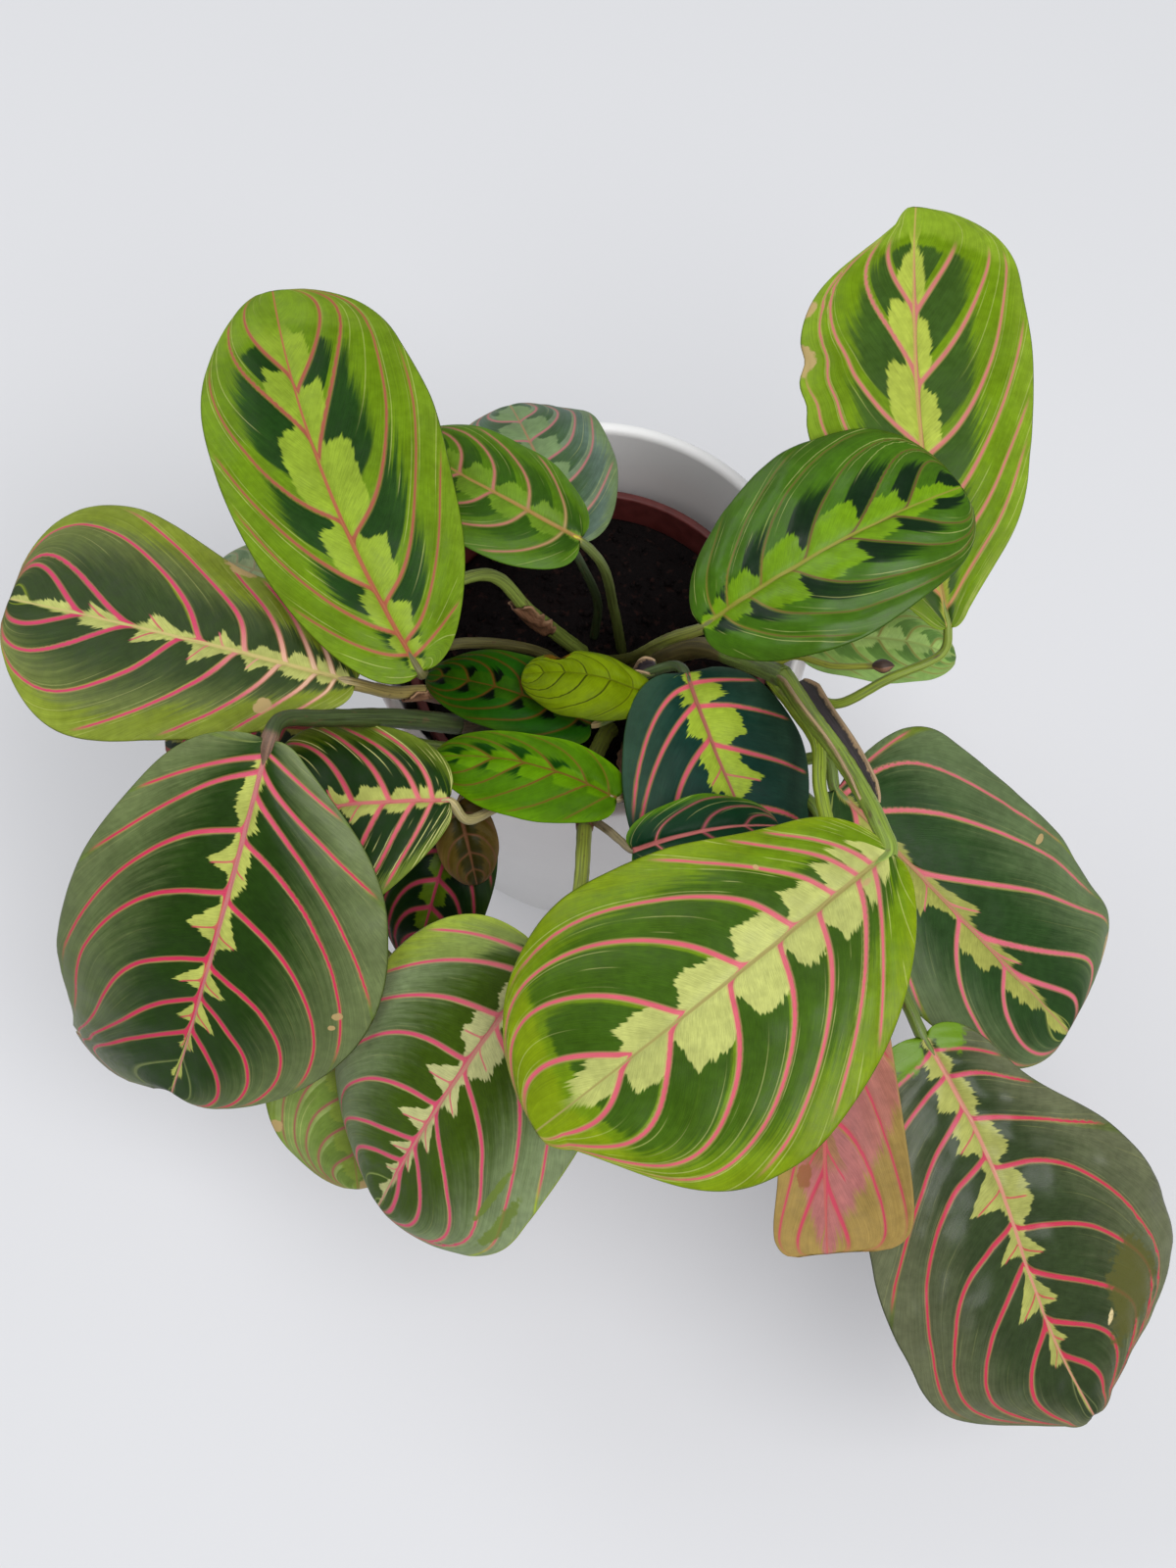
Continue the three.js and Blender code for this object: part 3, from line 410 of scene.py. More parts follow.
# The leaves' colours as the photograph shows them, 0 to 255, and the measures of their pattern. The plain
# tip starts at plain_tip, over a length of twice fade, and the veins end at vein_end. gap is the pale strip
# beside each vein, tooth the size of the feather's teeth, fill its strength and lines the strength of the
# fine pale lines. The widths are in millimetres.
COLOURS = ("dark", "shade", "outer", "edge", "feather", "vein", "vein_base", "midrib")
FINE_LINE = (190, 190, 120)
LOOK = {
    "dark": (46, 66, 34),
    "shade": (66, 84, 44),
    "outer": (96, 112, 40),
    "edge": (110, 128, 40),
    "feather": (176, 188, 92),
    "vein": (200, 78, 104),
    "vein_base": (202, 108, 112),
    "midrib": (186, 108, 104),
    "gap": 0.03,
    "plain_tip": 1.2,
    "fade": 0.055,
    "vein_end": 0.95,
    "fill": 0.9,
    "tooth": 3.0,
    "lines": 0.5,
    "vein_width": 1.25,
    "rib_width": 1.5,
    "coat": 0.0,
    "gloss": 0.42,
    "shine": 0.12,
}
LOOKS = {
    "leaf_back_right": dict(
        dark=(58, 82, 36), shade=(80, 106, 40), outer=(100, 128, 26), edge=(122, 148, 44),
        feather=(166, 178, 74), vein=(184, 112, 104), vein_base=(188, 132, 90), midrib=(176, 150, 90),
        gap=0.16, plain_tip=0.91, vein_end=0.86, lines=0.3, vein_width=1.1,
    ),
    "leaf_upper_right": dict(
        dark=(20, 44, 20), shade=(46, 76, 8), outer=(64, 98, 6), edge=(62, 90, 22), feather=(106, 142, 20),
        vein=(100, 78, 50), vein_base=(124, 110, 48), midrib=(134, 132, 56), gap=0.42, lines=0.35,
        vein_width=0.5, coat=0.15, gloss=0.4,
    ),
    "leaf_low_right": dict(
        dark=(88, 120, 60), shade=(104, 140, 70), outer=(128, 160, 84), edge=(132, 164, 90),
        feather=(148, 176, 100), vein=(130, 128, 70), vein_base=(130, 128, 70), midrib=(140, 160, 90),
        gap=0.3, lines=0.0, vein_width=0.6,
    ),
    "leaf_back_left": dict(
        dark=(36, 60, 14), shade=(56, 90, 34), outer=(96, 124, 20), edge=(106, 132, 38),
        feather=(136, 158, 52), vein=(150, 86, 68), vein_base=(160, 92, 70), midrib=(160, 96, 70), gap=0.2,
        plain_tip=0.88, lines=0.35, vein_width=1.0,
    ),
    "leaf_left": dict(
        dark=(54, 68, 40), shade=(112, 122, 68), outer=(112, 126, 42), edge=(128, 142, 56),
        feather=(176, 180, 104), vein=(190, 68, 98), vein_base=(214, 178, 148), midrib=(186, 172, 112),
        tooth=4.0, lines=0.2,
    ),
    # shade and outer here are raised to greyer, lighter colours that are partly painted sheen.
    "leaf_front_left": dict(
        dark=(42, 62, 12), shade=(102, 114, 74), outer=(104, 116, 66), edge=(100, 118, 60),
        feather=(176, 182, 92), vein=(194, 56, 86), vein_base=(198, 88, 108), midrib=(186, 116, 116),
        tooth=5.0, lines=0.08, coat=0.06,
    ),
    # shade here is raised to a greyer, lighter colour that is partly painted sheen.
    "leaf_front_middle": dict(
        dark=(62, 82, 26), shade=(126, 140, 102), outer=(124, 140, 72), edge=(150, 168, 60),
        feather=(188, 188, 130), vein=(204, 82, 108), midrib=(190, 130, 116), tooth=4.0, lines=0.12,
    ),
    "leaf_centre_lime": dict(
        dark=(58, 84, 18), shade=(74, 102, 12), outer=(98, 124, 4), edge=(116, 136, 26),
        feather=(174, 178, 104), vein=(196, 92, 104), vein_base=(190, 104, 108), midrib=(150, 140, 84),
        gap=0.08, plain_tip=0.88, fill=0.95, tooth=4.0, lines=0.35, vein_width=1.2, coat=0.06,
    ),
    "leaf_right": dict(
        dark=(46, 68, 38), shade=(98, 114, 78), outer=(120, 130, 68), edge=(108, 128, 48),
        feather=(158, 160, 82), vein=(202, 102, 116), midrib=(170, 128, 96), tooth=4.0, lines=0.08,
    ),
    # shade here is raised to a greyer, lighter colour that is partly painted sheen.
    "leaf_front_right": dict(
        dark=(54, 66, 42), shade=(98, 102, 76), outer=(104, 112, 72), edge=(84, 96, 52),
        feather=(166, 168, 92), vein=(186, 60, 80), vein_base=(194, 84, 104), midrib=(196, 136, 116),
        tooth=4.0, lines=0.1, coat=0.15, gloss=0.32,
    ),
    "leaf_hanging": dict(
        dark=(164, 104, 100), shade=(170, 112, 96), outer=(152, 124, 68), edge=(150, 126, 72),
        feather=(150, 110, 76), vein=(184, 70, 88), vein_base=(200, 100, 100), midrib=(180, 96, 90),
        plain_tip=0.75, fade=0.3, tooth=5.0, lines=0.0, vein_width=1.0, gloss=0.5,
    ),
    "leaf_centre_dark": dict(
        dark=(32, 56, 48), shade=(48, 70, 56), outer=(44, 66, 50), edge=(50, 74, 46), feather=(146, 166, 56),
        vein=(186, 84, 96), vein_base=(198, 90, 100), midrib=(150, 92, 80), fill=0.95, tooth=5.0, lines=0.0,
        gloss=0.46,
    ),
    "leaf_small_green": dict(
        dark=(34, 62, 4), shade=(54, 90, 3), outer=(70, 106, 2), edge=(90, 130, 6), feather=(88, 128, 4),
        vein=(104, 74, 40), vein_base=(110, 76, 44), midrib=(104, 84, 40), gap=0.36, tooth=1.0, lines=0.0,
        vein_width=0.5, rib_width=0.8, shine=0.04,
    ),
    "leaf_small_yellow": dict(
        dark=(60, 72, 2), shade=(92, 110, 2), outer=(102, 120, 2), edge=(76, 90, 4), feather=(136, 156, 22),
        vein=(54, 62, 4), vein_base=(76, 84, 14), midrib=(86, 96, 14), gap=0.4, tooth=1.0, lines=0.0,
        vein_width=0.6, rib_width=0.7, shine=0.04,
    ),
    "leaf_inner_left": dict(
        dark=(10, 32, 4), shade=(28, 62, 6), outer=(38, 74, 6), edge=(54, 84, 30), feather=(48, 78, 20),
        vein=(88, 60, 34), vein_base=(88, 60, 34), midrib=(84, 66, 34), gap=0.5, tooth=1.5, lines=0.0,
        vein_width=0.5, rib_width=0.8, shine=0.04,
    ),
    "leaf_back_inner": dict(
        dark=(50, 78, 26), shade=(64, 96, 28), outer=(76, 108, 30), edge=(84, 118, 44),
        feather=(100, 130, 42), vein=(164, 104, 92), vein_base=(150, 130, 84), midrib=(150, 120, 70),
        gap=0.35, lines=0.2, vein_width=0.8,
    ),
    "leaf_back_outer": dict(
        dark=(66, 88, 58), shade=(96, 114, 104), outer=(106, 124, 98), edge=(104, 124, 84),
        feather=(112, 134, 92), vein=(168, 106, 108), vein_base=(170, 130, 110), midrib=(150, 120, 90),
        gap=0.2, lines=0.2, vein_width=0.8,
    ),
    "leaf_left_inner": dict(
        dark=(34, 52, 16), shade=(40, 58, 8), outer=(66, 84, 12), edge=(100, 116, 44), feather=(168, 172, 92),
        vein=(186, 74, 92), lines=0.8,
    ),
    "leaf_left_low": dict(dark=(60, 76, 62), shade=(70, 88, 66), outer=(70, 90, 60), edge=(80, 96, 60)),
    "leaf_front_dark": dict(
        dark=(22, 40, 18), shade=(36, 54, 26), outer=(36, 56, 24), edge=(44, 62, 26), feather=(80, 104, 26),
        vein=(150, 60, 76), vein_base=(150, 60, 76), midrib=(150, 60, 76), lines=0.0,
    ),
    "leaf_small_brown": dict(
        dark=(52, 50, 24), shade=(66, 60, 30), outer=(80, 68, 34), edge=(96, 78, 48), feather=(84, 74, 38),
        vein=(104, 68, 54), vein_base=(104, 68, 54), midrib=(100, 70, 50), lines=0.0, vein_width=0.4,
    ),
    "leaf_front_low": dict(
        dark=(106, 128, 58), shade=(134, 152, 88), outer=(142, 160, 92), edge=(116, 136, 56),
        feather=(126, 144, 60), vein=(150, 96, 84), vein_base=(140, 110, 70), midrib=(140, 120, 70), gap=0.2,
        lines=0.3, vein_width=0.8,
    ),
    "leaf_folded": dict(
        dark=(30, 56, 38), shade=(36, 66, 36), outer=(44, 76, 34), edge=(84, 120, 30), feather=(60, 92, 34),
        vein=(150, 74, 84), lines=0.3, vein_width=0.7,
    ),
    "leaf_back_low": dict(
        dark=(112, 136, 100), shade=(128, 150, 110), outer=(140, 160, 118), edge=(140, 160, 118),
        feather=(150, 166, 124), vein=(150, 140, 110), vein_base=(150, 140, 110), midrib=(150, 150, 110),
        gap=0.3, lines=0.0, vein_width=0.6,
    ),
}
UNDERSIDE = dict(
    dark=(120, 66, 74), shade=(134, 84, 84), outer=(130, 90, 78), edge=(120, 104, 70),
    feather=(146, 112, 86), vein=(160, 96, 92), vein_base=(150, 110, 84), midrib=(140, 120, 80),
    lines=0.0, vein_width=0.9, gloss=0.55,
)

# Dried and discoloured places: (across, along, how far it reaches across and along, colour), with places and
# reaches as shares of the half width and of the length
DRIED = (176, 150, 104)
MARKS = {
    "leaf_back_right": [(-0.98, 0.62, 0.1, 0.04, DRIED), (-0.99, 0.74, 0.08, 0.02, DRIED)],
    "leaf_left": [(-0.68, 0.22, 0.1, 0.025, DRIED), (0.97, 0.42, 0.08, 0.05, DRIED)],
    "leaf_front_left": [
        (-0.8, 0.57, 0.03, 0.01, DRIED), (-0.8, 0.6, 0.02, 0.006, DRIED), (0.95, 0.88, 0.1, 0.02, DRIED),
    ],
    "leaf_front_middle": [(-0.7, 0.6, 0.03, 0.12, (106, 124, 56)), (-0.86, 0.66, 0.05, 0.12, (106, 124, 56))],
    "leaf_centre_lime": [(-0.14, 0.09, 0.05, 0.012, DRIED), (0.62, 0.26, 0.03, 0.006, DRIED)],
    "leaf_right": [(-0.84, 0.54, 0.05, 0.01, DRIED), (-0.97, 0.95, 0.1, 0.02, DRIED)],
    "leaf_front_right": [
        (-0.42, 0.78, 0.02, 0.02, (220, 200, 150)), (-0.62, 0.75, 0.2, 0.12, (88, 88, 48)),
        (0.7, 0.02, 0.5, 0.06, (104, 140, 36)), (-0.7, 0.02, 0.5, 0.06, (104, 140, 36)),
    ],
    "leaf_hanging": [(-0.42, 0.78, 0.16, 0.04, (140, 92, 60)), (-0.5, 0.66, 0.1, 0.05, (150, 98, 70))],
    "leaf_small_yellow": [(0.86, 0.72, 0.2, 0.14, (96, 64, 20)), (0.8, 0.68, 0.08, 0.04, (24, 16, 8))],
    "leaf_front_low": [(0.95, 0.7, 0.1, 0.03, DRIED), (-0.4, 0.97, 0.3, 0.03, DRIED)],
}

# The petioles and stems: (along the stalk, at the knee at its end, length of the knee in millimetres)
PETIOLE_LOOK = ((92, 112, 36), (150, 132, 84), 9.0)
PETIOLE_LOOKS = {
    "leaf_back_right": ((118, 136, 40), (140, 140, 60), 8.0),
    "leaf_upper_right": ((92, 96, 30), (188, 158, 20), 6.0),
    "leaf_back_left": ((88, 84, 44), (120, 100, 60), 6.0),
    "leaf_left": ((140, 124, 70), (168, 150, 110), 12.0),
    "leaf_front_left": ((52, 66, 26), (112, 84, 66), 17.0),
    "leaf_centre_lime": ((116, 138, 44), (150, 126, 96), 8.0),
    "leaf_hanging": ((130, 150, 34), (130, 150, 34), 4.0),
    "leaf_centre_dark": ((60, 78, 36), (116, 108, 92), 6.0),
    "leaf_small_green": ((96, 84, 50), (136, 122, 90), 8.0),
    "leaf_small_yellow": ((160, 168, 84), (170, 176, 96), 8.0),
    "leaf_back_inner": ((84, 96, 40), (176, 160, 44), 8.0),
    "leaf_back_outer": ((50, 64, 34), (56, 70, 40), 6.0),
    "leaf_front_middle": ((128, 140, 48), (136, 140, 60), 8.0),
    "leaf_folded": ((142, 128, 96), (142, 128, 96), 6.0),
    "leaf_back_low": ((124, 142, 60), (124, 142, 60), 6.0),
    "leaf_left_inner": ((140, 130, 84), (160, 146, 100), 10.0),
}
STEM_LOOKS = {
    "stem_left": ((56, 62, 26), (70, 60, 36), 6.0),
    "stem_right": ((86, 78, 40), (92, 112, 44), 26.0),
    "stem_low_right": ((70, 80, 34), (80, 84, 40), 8.0),
    "stem_front": ((118, 130, 44), (110, 76, 50), 5.0),
}


def linear(colour):
    """A 0-to-255 screen colour as the linear one that shaders take."""
    parts = [part / 255 for part in colour]
    return tuple(p / 12.92 if p <= 0.04045 else ((p + 0.055) / 1.055) ** 2.4 for p in parts)


def leaf_colour(colour):
    """The paint under a leaf's sheen that shows as this 0-to-255 screen colour."""
    return tuple(max(part - LEAF_SHEEN, LEAST_PAINT) for part in linear(colour))


def length_setting(name, description, default):
    """A setting that is a length in metres."""
    return FloatProperty(name=name, description=description, default=default, unit="LENGTH")


def colour_setting(name, description, default):
    """A setting that is a linear colour."""
    return FloatVectorProperty(name=name, description=description, default=default, size=3, subtype="COLOR")


class PlantPotSettings(bpy.types.PropertyGroup):
    """Sizes and colours of the two pots."""

    height: length_setting("Height", "Height of the white pot", 0.125)
    mouth: length_setting("Mouth radius", "Inner radius of the white pot's mouth", 0.065)
    rim: length_setting("Rim radius", "Outer radius of the white pot's rim", 0.0695)
    foot: length_setting("Foot radius", "Radius of the white pot's foot", 0.058)
    glaze: colour_setting("Glaze", "Colour of the white glaze", (0.8, 0.8, 0.79))
    plastic: colour_setting("Plastic", "Colour of the nursery pot", (0.13, 0.025, 0.022))


class PlantSoilSettings(bpy.types.PropertyGroup):
    """Sizes and colours of the soil."""

    top: length_setting("Top", "Height of the soil's surface", 0.091)
    roughness: length_setting("Lumps", "Height of the soil's lumps", 0.0016)
    colour: colour_setting("Soil", "Colour of the moist soil", (0.006, 0.004, 0.004))


class PlantLeafSettings(bpy.types.PropertyGroup):
    """Sizes that all the leaves share."""

    thickness: length_setting("Thickness", "Thickness of a blade", 0.0005)
    spacing: length_setting("Fineness", "Distance between the mesh lines of a blade", 0.0013)
    relief: FloatProperty(
        name="Relief", description="Factor on how far the blades puff up between veins", default=1.0
    )


class PlantStageSettings(bpy.types.PropertyGroup):
    """The floor and the light."""

    floor: colour_setting("Floor", "Colour of the floor", (0.42, 0.42, 0.434))
    glow: FloatProperty(name="Floor glow", description="Light that fills the floor's shadow", default=0.24)
    sky: FloatProperty(name="Room light", description="Strength of the light all round", default=0.42)
    key: FloatProperty(
        name="Key light", description="Power of the large soft light", default=47.0, unit="POWER"
    )


def settings(kind):
    """The scene's settings of one kind."""
    return getattr(bpy.context.scene, "plant_" + kind)


# Shaders


class Value:
    """A socket of a shader that takes Python's operators."""

    def __init__(self, shader, socket):
        self.shader = shader
        self.socket = socket

    def math(self, operation, *others, first=False):
        """One maths node: first puts the other values before this one."""
        values = [*others, self] if first else [self, *others]
        return self.shader.node("ShaderNodeMath", {"operation": operation}, dict(enumerate(values)))

    def __add__(self, other):
        return self.math("ADD", other)

    def __sub__(self, other):
        return self.math("SUBTRACT", other)

    def __rsub__(self, other):
        return self.math("SUBTRACT", other, first=True)

    def __mul__(self, other):
        return self.math("MULTIPLY", other)

    def __truediv__(self, other):
        return self.math("DIVIDE", other)

    def __pow__(self, other):
        return self.math("POWER", other)

    def __gt__(self, other):
        return self.math("GREATER_THAN", other)

    def __abs__(self):
        return self.math("ABSOLUTE")


class Shader:
    """A material that is written as expressions."""

    def __init__(self, name):
        self.material = bpy.data.materials.new(name)
        self.material.use_nodes = True
        self.tree = self.material.node_tree
        self.tree.nodes.clear()

    def node(self, kind, options=None, sockets=None, output=0):
        """Adds a node: its options are set first, then the values or links of its sockets."""
        node = self.tree.nodes.new(kind)
        for key, value in (options or {}).items():
            setattr(node, key, value)
        for key, value in (sockets or {}).items():
            if isinstance(value, Value):
                self.tree.links.new(value.socket, node.inputs[key])
            else:
                node.inputs[key].default_value = value
        return Value(self, node.outputs[output]) if node.outputs else node

    def parts(self, attribute):
        """The three numbers of a vector that the mesh holds at each point."""
        vector = self.node("ShaderNodeAttribute", {"attribute_name": attribute}, output="Vector")
        return [self.node("ShaderNodeSeparateXYZ", sockets={0: vector}, output=i) for i in range(3)]

    def vector(self, x, y, z):
        return self.node("ShaderNodeCombineXYZ", sockets={0: x, 1: y, 2: z})

    def noise(self, place, scale=1.0, detail=2.0, roughness=0.5):
        """Smooth noise at a place, which is a vector or its three numbers."""
        vector = self.vector(*place) if isinstance(place, tuple) else place
        sockets = {"Vector": vector, "Scale": scale, "Detail": detail, "Roughness": roughness}
        return self.node("ShaderNodeTexNoise", sockets=sockets)

    def place(self):
        """Where the point is on the object, in metres."""
        return self.node("ShaderNodeTexCoord", output="Object")

    def ramp(self, value, low, high, to_low=0.0, to_high=1.0):
        """value taken smoothly from low..high to to_low..to_high."""
        sockets = {0: value, 1: low, 2: high, 3: to_low, 4: to_high}
        return self.node("ShaderNodeMapRange", {"interpolation_type": "SMOOTHSTEP"}, sockets)

    def spread(self, noise, to_low, to_high):
        """A noise, which mostly stays within 0.3..0.7, taken to to_low..to_high."""
        return self.ramp(noise, 0.3, 0.7, to_low, to_high)

    def mix(self, factor, first, second, blend="MIX"):
        """A colour between first and second, or second blended over first in another way."""
        first, second = ((*c, 1) if isinstance(c, tuple) else c for c in (first, second))
        options = {"data_type": "RGBA", "blend_type": blend}
        return self.node("ShaderNodeMix", options, {0: factor, 6: first, 7: second}, output=2)

    def shaded(self, colour, factor):
        """colour made lighter or darker by a factor that varies."""
        return self.mix(1.0, colour, self.vector(factor, factor, factor), "MULTIPLY")

    def bump(self, height, strength, distance):
        sockets = {"Height": height, "Strength": strength, "Distance": distance}
        return self.node("ShaderNodeBump", sockets=sockets)

    def surface(self, colour, roughness, normal=None, **constants):
        """Ends the material in one Principled shader and returns the material."""
        sockets = {"Base Color": colour, "Roughness": roughness, **constants}
        if normal:
            sockets["Normal"] = normal
        principled = self.node("ShaderNodeBsdfPrincipled", sockets=sockets)
        self.node("ShaderNodeOutputMaterial", sockets={"Surface": principled})
        return self.material


def blade_material(name, look, counts, marks=()):
    """The painted pattern of a blade with so many veins on its left and right: a toothed pale feather along
    the midrib, dark patches between the veins, pink veins and a paler outer zone."""
    look = {**LOOK, **look}
    colour = {key: leaf_colour(look[key]) for key in COLOURS}
    s = Shader(name)
    across, along, edge = s.parts("blade_place")
    phase, spacing, beside = s.parts("blade_veins")
    feather_share, spike_share, dark_share = s.parts("blade_cells")
    side = across > 0.0
    out = abs(across)
    off_rib = abs(beside)
    half = off_rib + edge
    count = side * (counts[1] - counts[0]) + counts[0]
    veined = (phase > -0.5) * ((count - phase) > 0.5)
    within = phase.math("FRACT")
    cell = phase.math("FLOOR") + side * 17.3
    to_vein = (0.5 - abs(within - 0.5)) * spacing

    # Noises drawn out along the veins
    brush = s.noise((phase * 9.0, off_rib * 0.07, side * 5.0), detail=4.0, roughness=0.6)
    teeth = s.noise((phase * 4.5, off_rib * 0.09, side * 9.0), detail=3.0, roughness=0.6)
    saw = s.noise((phase * 19.0, off_rib * 0.12, side * 7.0))
    fine = s.noise((phase * 70.0, off_rib * 0.3, side * 3.0))
    chance = s.noise((cell * 0.73, 4.0, 2.0), detail=0.0)

    # The feather, and where it ends
    lobe = s.ramp(within, 0.0, 0.1, 0.85, 1.0) * s.ramp(within, 0.5, 0.95, 1.0, 0.35)
    spike = 1.0 - (abs(within - 0.42) * 3.1) ** 1.15
    share = (feather_share * lobe).math("MAXIMUM", spike_share * spike)
    teeth_size = s.ramp(off_rib, 0.0, 5.0, 0.3, 1.0) * (1.8 * look["tooth"])
    cut = (teeth * 0.7 + saw * 0.5 - 0.62) * teeth_size
    feather = s.ramp(off_rib - share * half - cut, -0.5, 0.3, 1.0, 0.0)

    # The dark patches, which end before the margin and before the plain tip
    plain_tip, fade, gap = look["plain_tip"], look["fade"], look["gap"]
    outward = out + (brush - 0.5) * 0.4 + s.ramp(along, plain_tip - fade, plain_tip + fade)
    inside = s.ramp(outward - dark_share, -0.09, 0.07, 1.0, 0.0)
    apart = s.ramp(within + (brush - 0.5) * 0.14, gap, gap + 0.05) * s.ramp(within, 0.94, 0.99, 1.0, 0.6)
    cells = inside * apart
    paint = s.mix(s.ramp(outward, 0.7, 1.05), colour["outer"], colour["edge"])
    # The dark patches lighten outwards to the shade colour, which on three front leaves is partly painted
    # sheen.
    cell_paint = s.mix(s.ramp(out + (brush - 0.5) * 0.5, 0.25, 1.0), colour["dark"], colour["shade"])
    paint = s.mix(cells, paint, cell_paint)
    feather_end = s.ramp(along, plain_tip - 0.03, plain_tip + 0.05, look["fill"], 0.0)
    paint = s.mix(feather * feather_end, paint, colour["feather"])

    # Fine pale lines between the veins, and mottling all over
    thread = (phase * 3.0 + (chance - 0.5) * 0.6).math("FRACT")
    to_thread = abs(thread - 0.5) * spacing * 0.33
    broken = s.ramp(s.noise((phase * 3.0, off_rib * 0.06, side * 2.0)), 0.48, 0.56)
    threads = s.ramp(to_thread, 0.06, 0.2, 1.0, 0.0) * broken * s.ramp(out, 0.3, 0.55)
    paint = s.mix(threads * look["lines"], paint, leaf_colour(FINE_LINE))
    paint = s.shaded(paint, s.ramp(fine, 0.2, 0.8, 0.82, 1.16))
    mottle = s.noise(s.place(), scale=420.0, detail=3.0)
    cloud = s.noise(s.place(), scale=70.0)
    paint = s.shaded(paint, s.spread(mottle, 0.92, 1.07) * s.spread(cloud, 0.88, 1.1))

    # The veins with a paler rim, and the short twig in the middle of a cell
    width = s.ramp(out, 0.1, 0.95, look["vein_width"], 0.45 * look["vein_width"]) * (chance * 0.4 + 0.8)
    width = width * s.ramp(half, 3.0, 16.0, 0.4, 1.0) + (fine - 0.5) * 0.25
    vein_reach = s.ramp(out, 0.88, 0.97, 1.0, 0.0) * veined
    vein_reach = vein_reach * s.ramp(along, look["vein_end"], look["vein_end"] + 0.06, 1.0, 0.0)
    vein = s.ramp(to_vein - width * 0.5, -0.16, 0.16, 1.0, 0.0) * vein_reach
    twig_end = spike_share * 0.85 - out
    twig = s.ramp(abs(within - 0.5) * spacing, 0.15, 0.4, 1.0, 0.0) * s.ramp(twig_end, 0.0, 0.03)
    vein_paint = s.mix(s.ramp(along + out * 0.3, 0.1, 0.55), colour["vein_base"], colour["vein"])
    vein_paint = s.shaded(vein_paint, s.ramp(fine, 0.2, 0.8, 0.88, 1.12))
    paint = s.mix(twig * veined * 0.8, paint, vein_paint)
    rim = s.ramp(to_vein - width * 0.5, 0.0, 0.6, 0.6, 0.0) * vein_reach
    paint = s.mix(rim * (1.0 - vein), paint, s.mix(0.5, colour["feather"], colour["vein"]))
    paint = s.mix(vein, paint, vein_paint)

    # The midrib, the margin, and dried places
    rib_width = s.ramp(along, 0.0, 1.0, look["rib_width"], 0.3 * look["rib_width"])
    rib = s.ramp(off_rib - rib_width * 0.5, -0.25, 0.25, 1.0, 0.0)
    paint = s.mix(rib, paint, colour["midrib"])
    paint = s.mix(s.ramp(edge, 0.15, 0.5, 0.7, 0.0), paint, colour["edge"])
    for middle, station, wide, long, tone in marks:
        over, past = (across - middle) / wide, (along - station) / long
        mark = s.ramp(over * over + past * past + (mottle - 0.5) * 2.0, 0.6, 1.1, 0.9, 0.0)
        paint = s.mix(mark, paint, leaf_colour(tone))

    groove = s.ramp(to_vein, 0.0, 1.6) * veined + s.ramp(off_rib, 0.0, 1.8) + fine * 0.22 + mottle * 0.15
    roughness = s.spread(mottle, look["gloss"] - 0.05, look["gloss"] + 0.08)
    normal = s.bump(groove, 0.55, 0.0004)
    gloss = {"Coat Weight": look["coat"], "Coat Roughness": 0.22, "Specular IOR Level": look["shine"]}
    return s.surface(paint, roughness, normal, **gloss)


def stalk_material(name, look):
    """Petioles and stems: fibrous green with a paler, hairy knee at the end that carries the blade."""
    body, knee, knee_length = look
    s = Shader(name)
    cosine, sine, from_end = s.parts("stalk_place")
    fibre = s.noise((cosine * 5.0, sine * 5.0, from_end * 0.06), detail=3.0)
    blotch = s.noise((cosine, sine, from_end * 0.22), detail=3.0)
    at_knee = s.ramp(from_end + blotch * 3.0, knee_length + 1.0, knee_length + 3.0, 1.0, 0.0)
    paint = s.mix(at_knee, linear(body), linear(knee))
    paint = s.shaded(paint, s.spread(fibre, 0.62, 1.35))
    paint = s.mix(s.ramp(blotch, 0.6, 0.72, 0.0, 0.6), paint, linear((84, 64, 40)))
    hair = s.noise(s.place(), scale=2600.0)
    height = fibre * 0.7 + hair * (at_knee * 0.9 + 0.25)
    return s.surface(paint, s.spread(fibre, 0.38, 0.6), s.bump(height, 0.6, 0.0004))


def sheath_material(name, outside, inside, rim):
    """An open sheath: one colour outside, one inside, and a papery rim."""
    s = Shader(name)
    over, inner, from_end = s.parts("stalk_place")
    fibre = s.noise((over * 9.0, inner * 3.0, from_end * 0.05), detail=3.0)
    ragged = s.noise((over * 3.0, 1.0, from_end * 0.5), detail=3.0)
    paint = s.mix(inner, linear(outside), linear(inside))
    at_rim = s.ramp(abs(over) + (ragged - 0.5) * 0.3, 0.78, 0.9)
    paint = s.mix(at_rim * 0.85, paint, linear(rim))
    paint = s.shaded(paint, s.spread(fibre, 0.65, 1.3))
    return s.surface(paint, s.spread(fibre, 0.45, 0.7), s.bump(fibre, 0.6, 0.0004))


def glaze_material(colour):
    """White satin glaze, with the faint unevenness of a moulded pot."""
    s = Shader("white_glaze")
    cloud = s.noise(s.place(), scale=28.0, detail=3.0)
    speck = s.noise(s.place(), scale=900.0)
    paint = s.shaded(tuple(colour), s.spread(cloud, 0.965, 1.0))
    normal = s.bump(cloud + speck * 0.06, 0.2, 0.0006)
    return s.surface(paint, s.spread(speck, 0.3, 0.4), normal, **{"Coat Weight": 0.2})


def plastic_material(colour):
    """Thin red-brown nursery plastic, scuffed and dusty with soil."""
    s = Shader("brown_plastic")
    scuff = s.noise(s.place(), scale=240.0, detail=4.0)
    dust = s.noise(s.place(), scale=60.0, detail=5.0, roughness=0.7)
    paint = s.mix(s.ramp(dust, 0.5, 0.75, 0.0, 0.6), tuple(colour), linear((44, 30, 26)))
    paint = s.shaded(paint, s.spread(scuff, 0.85, 1.2))
    return s.surface(paint, s.spread(scuff, 0.4, 0.6), s.bump(scuff, 0.25, 0.0003))


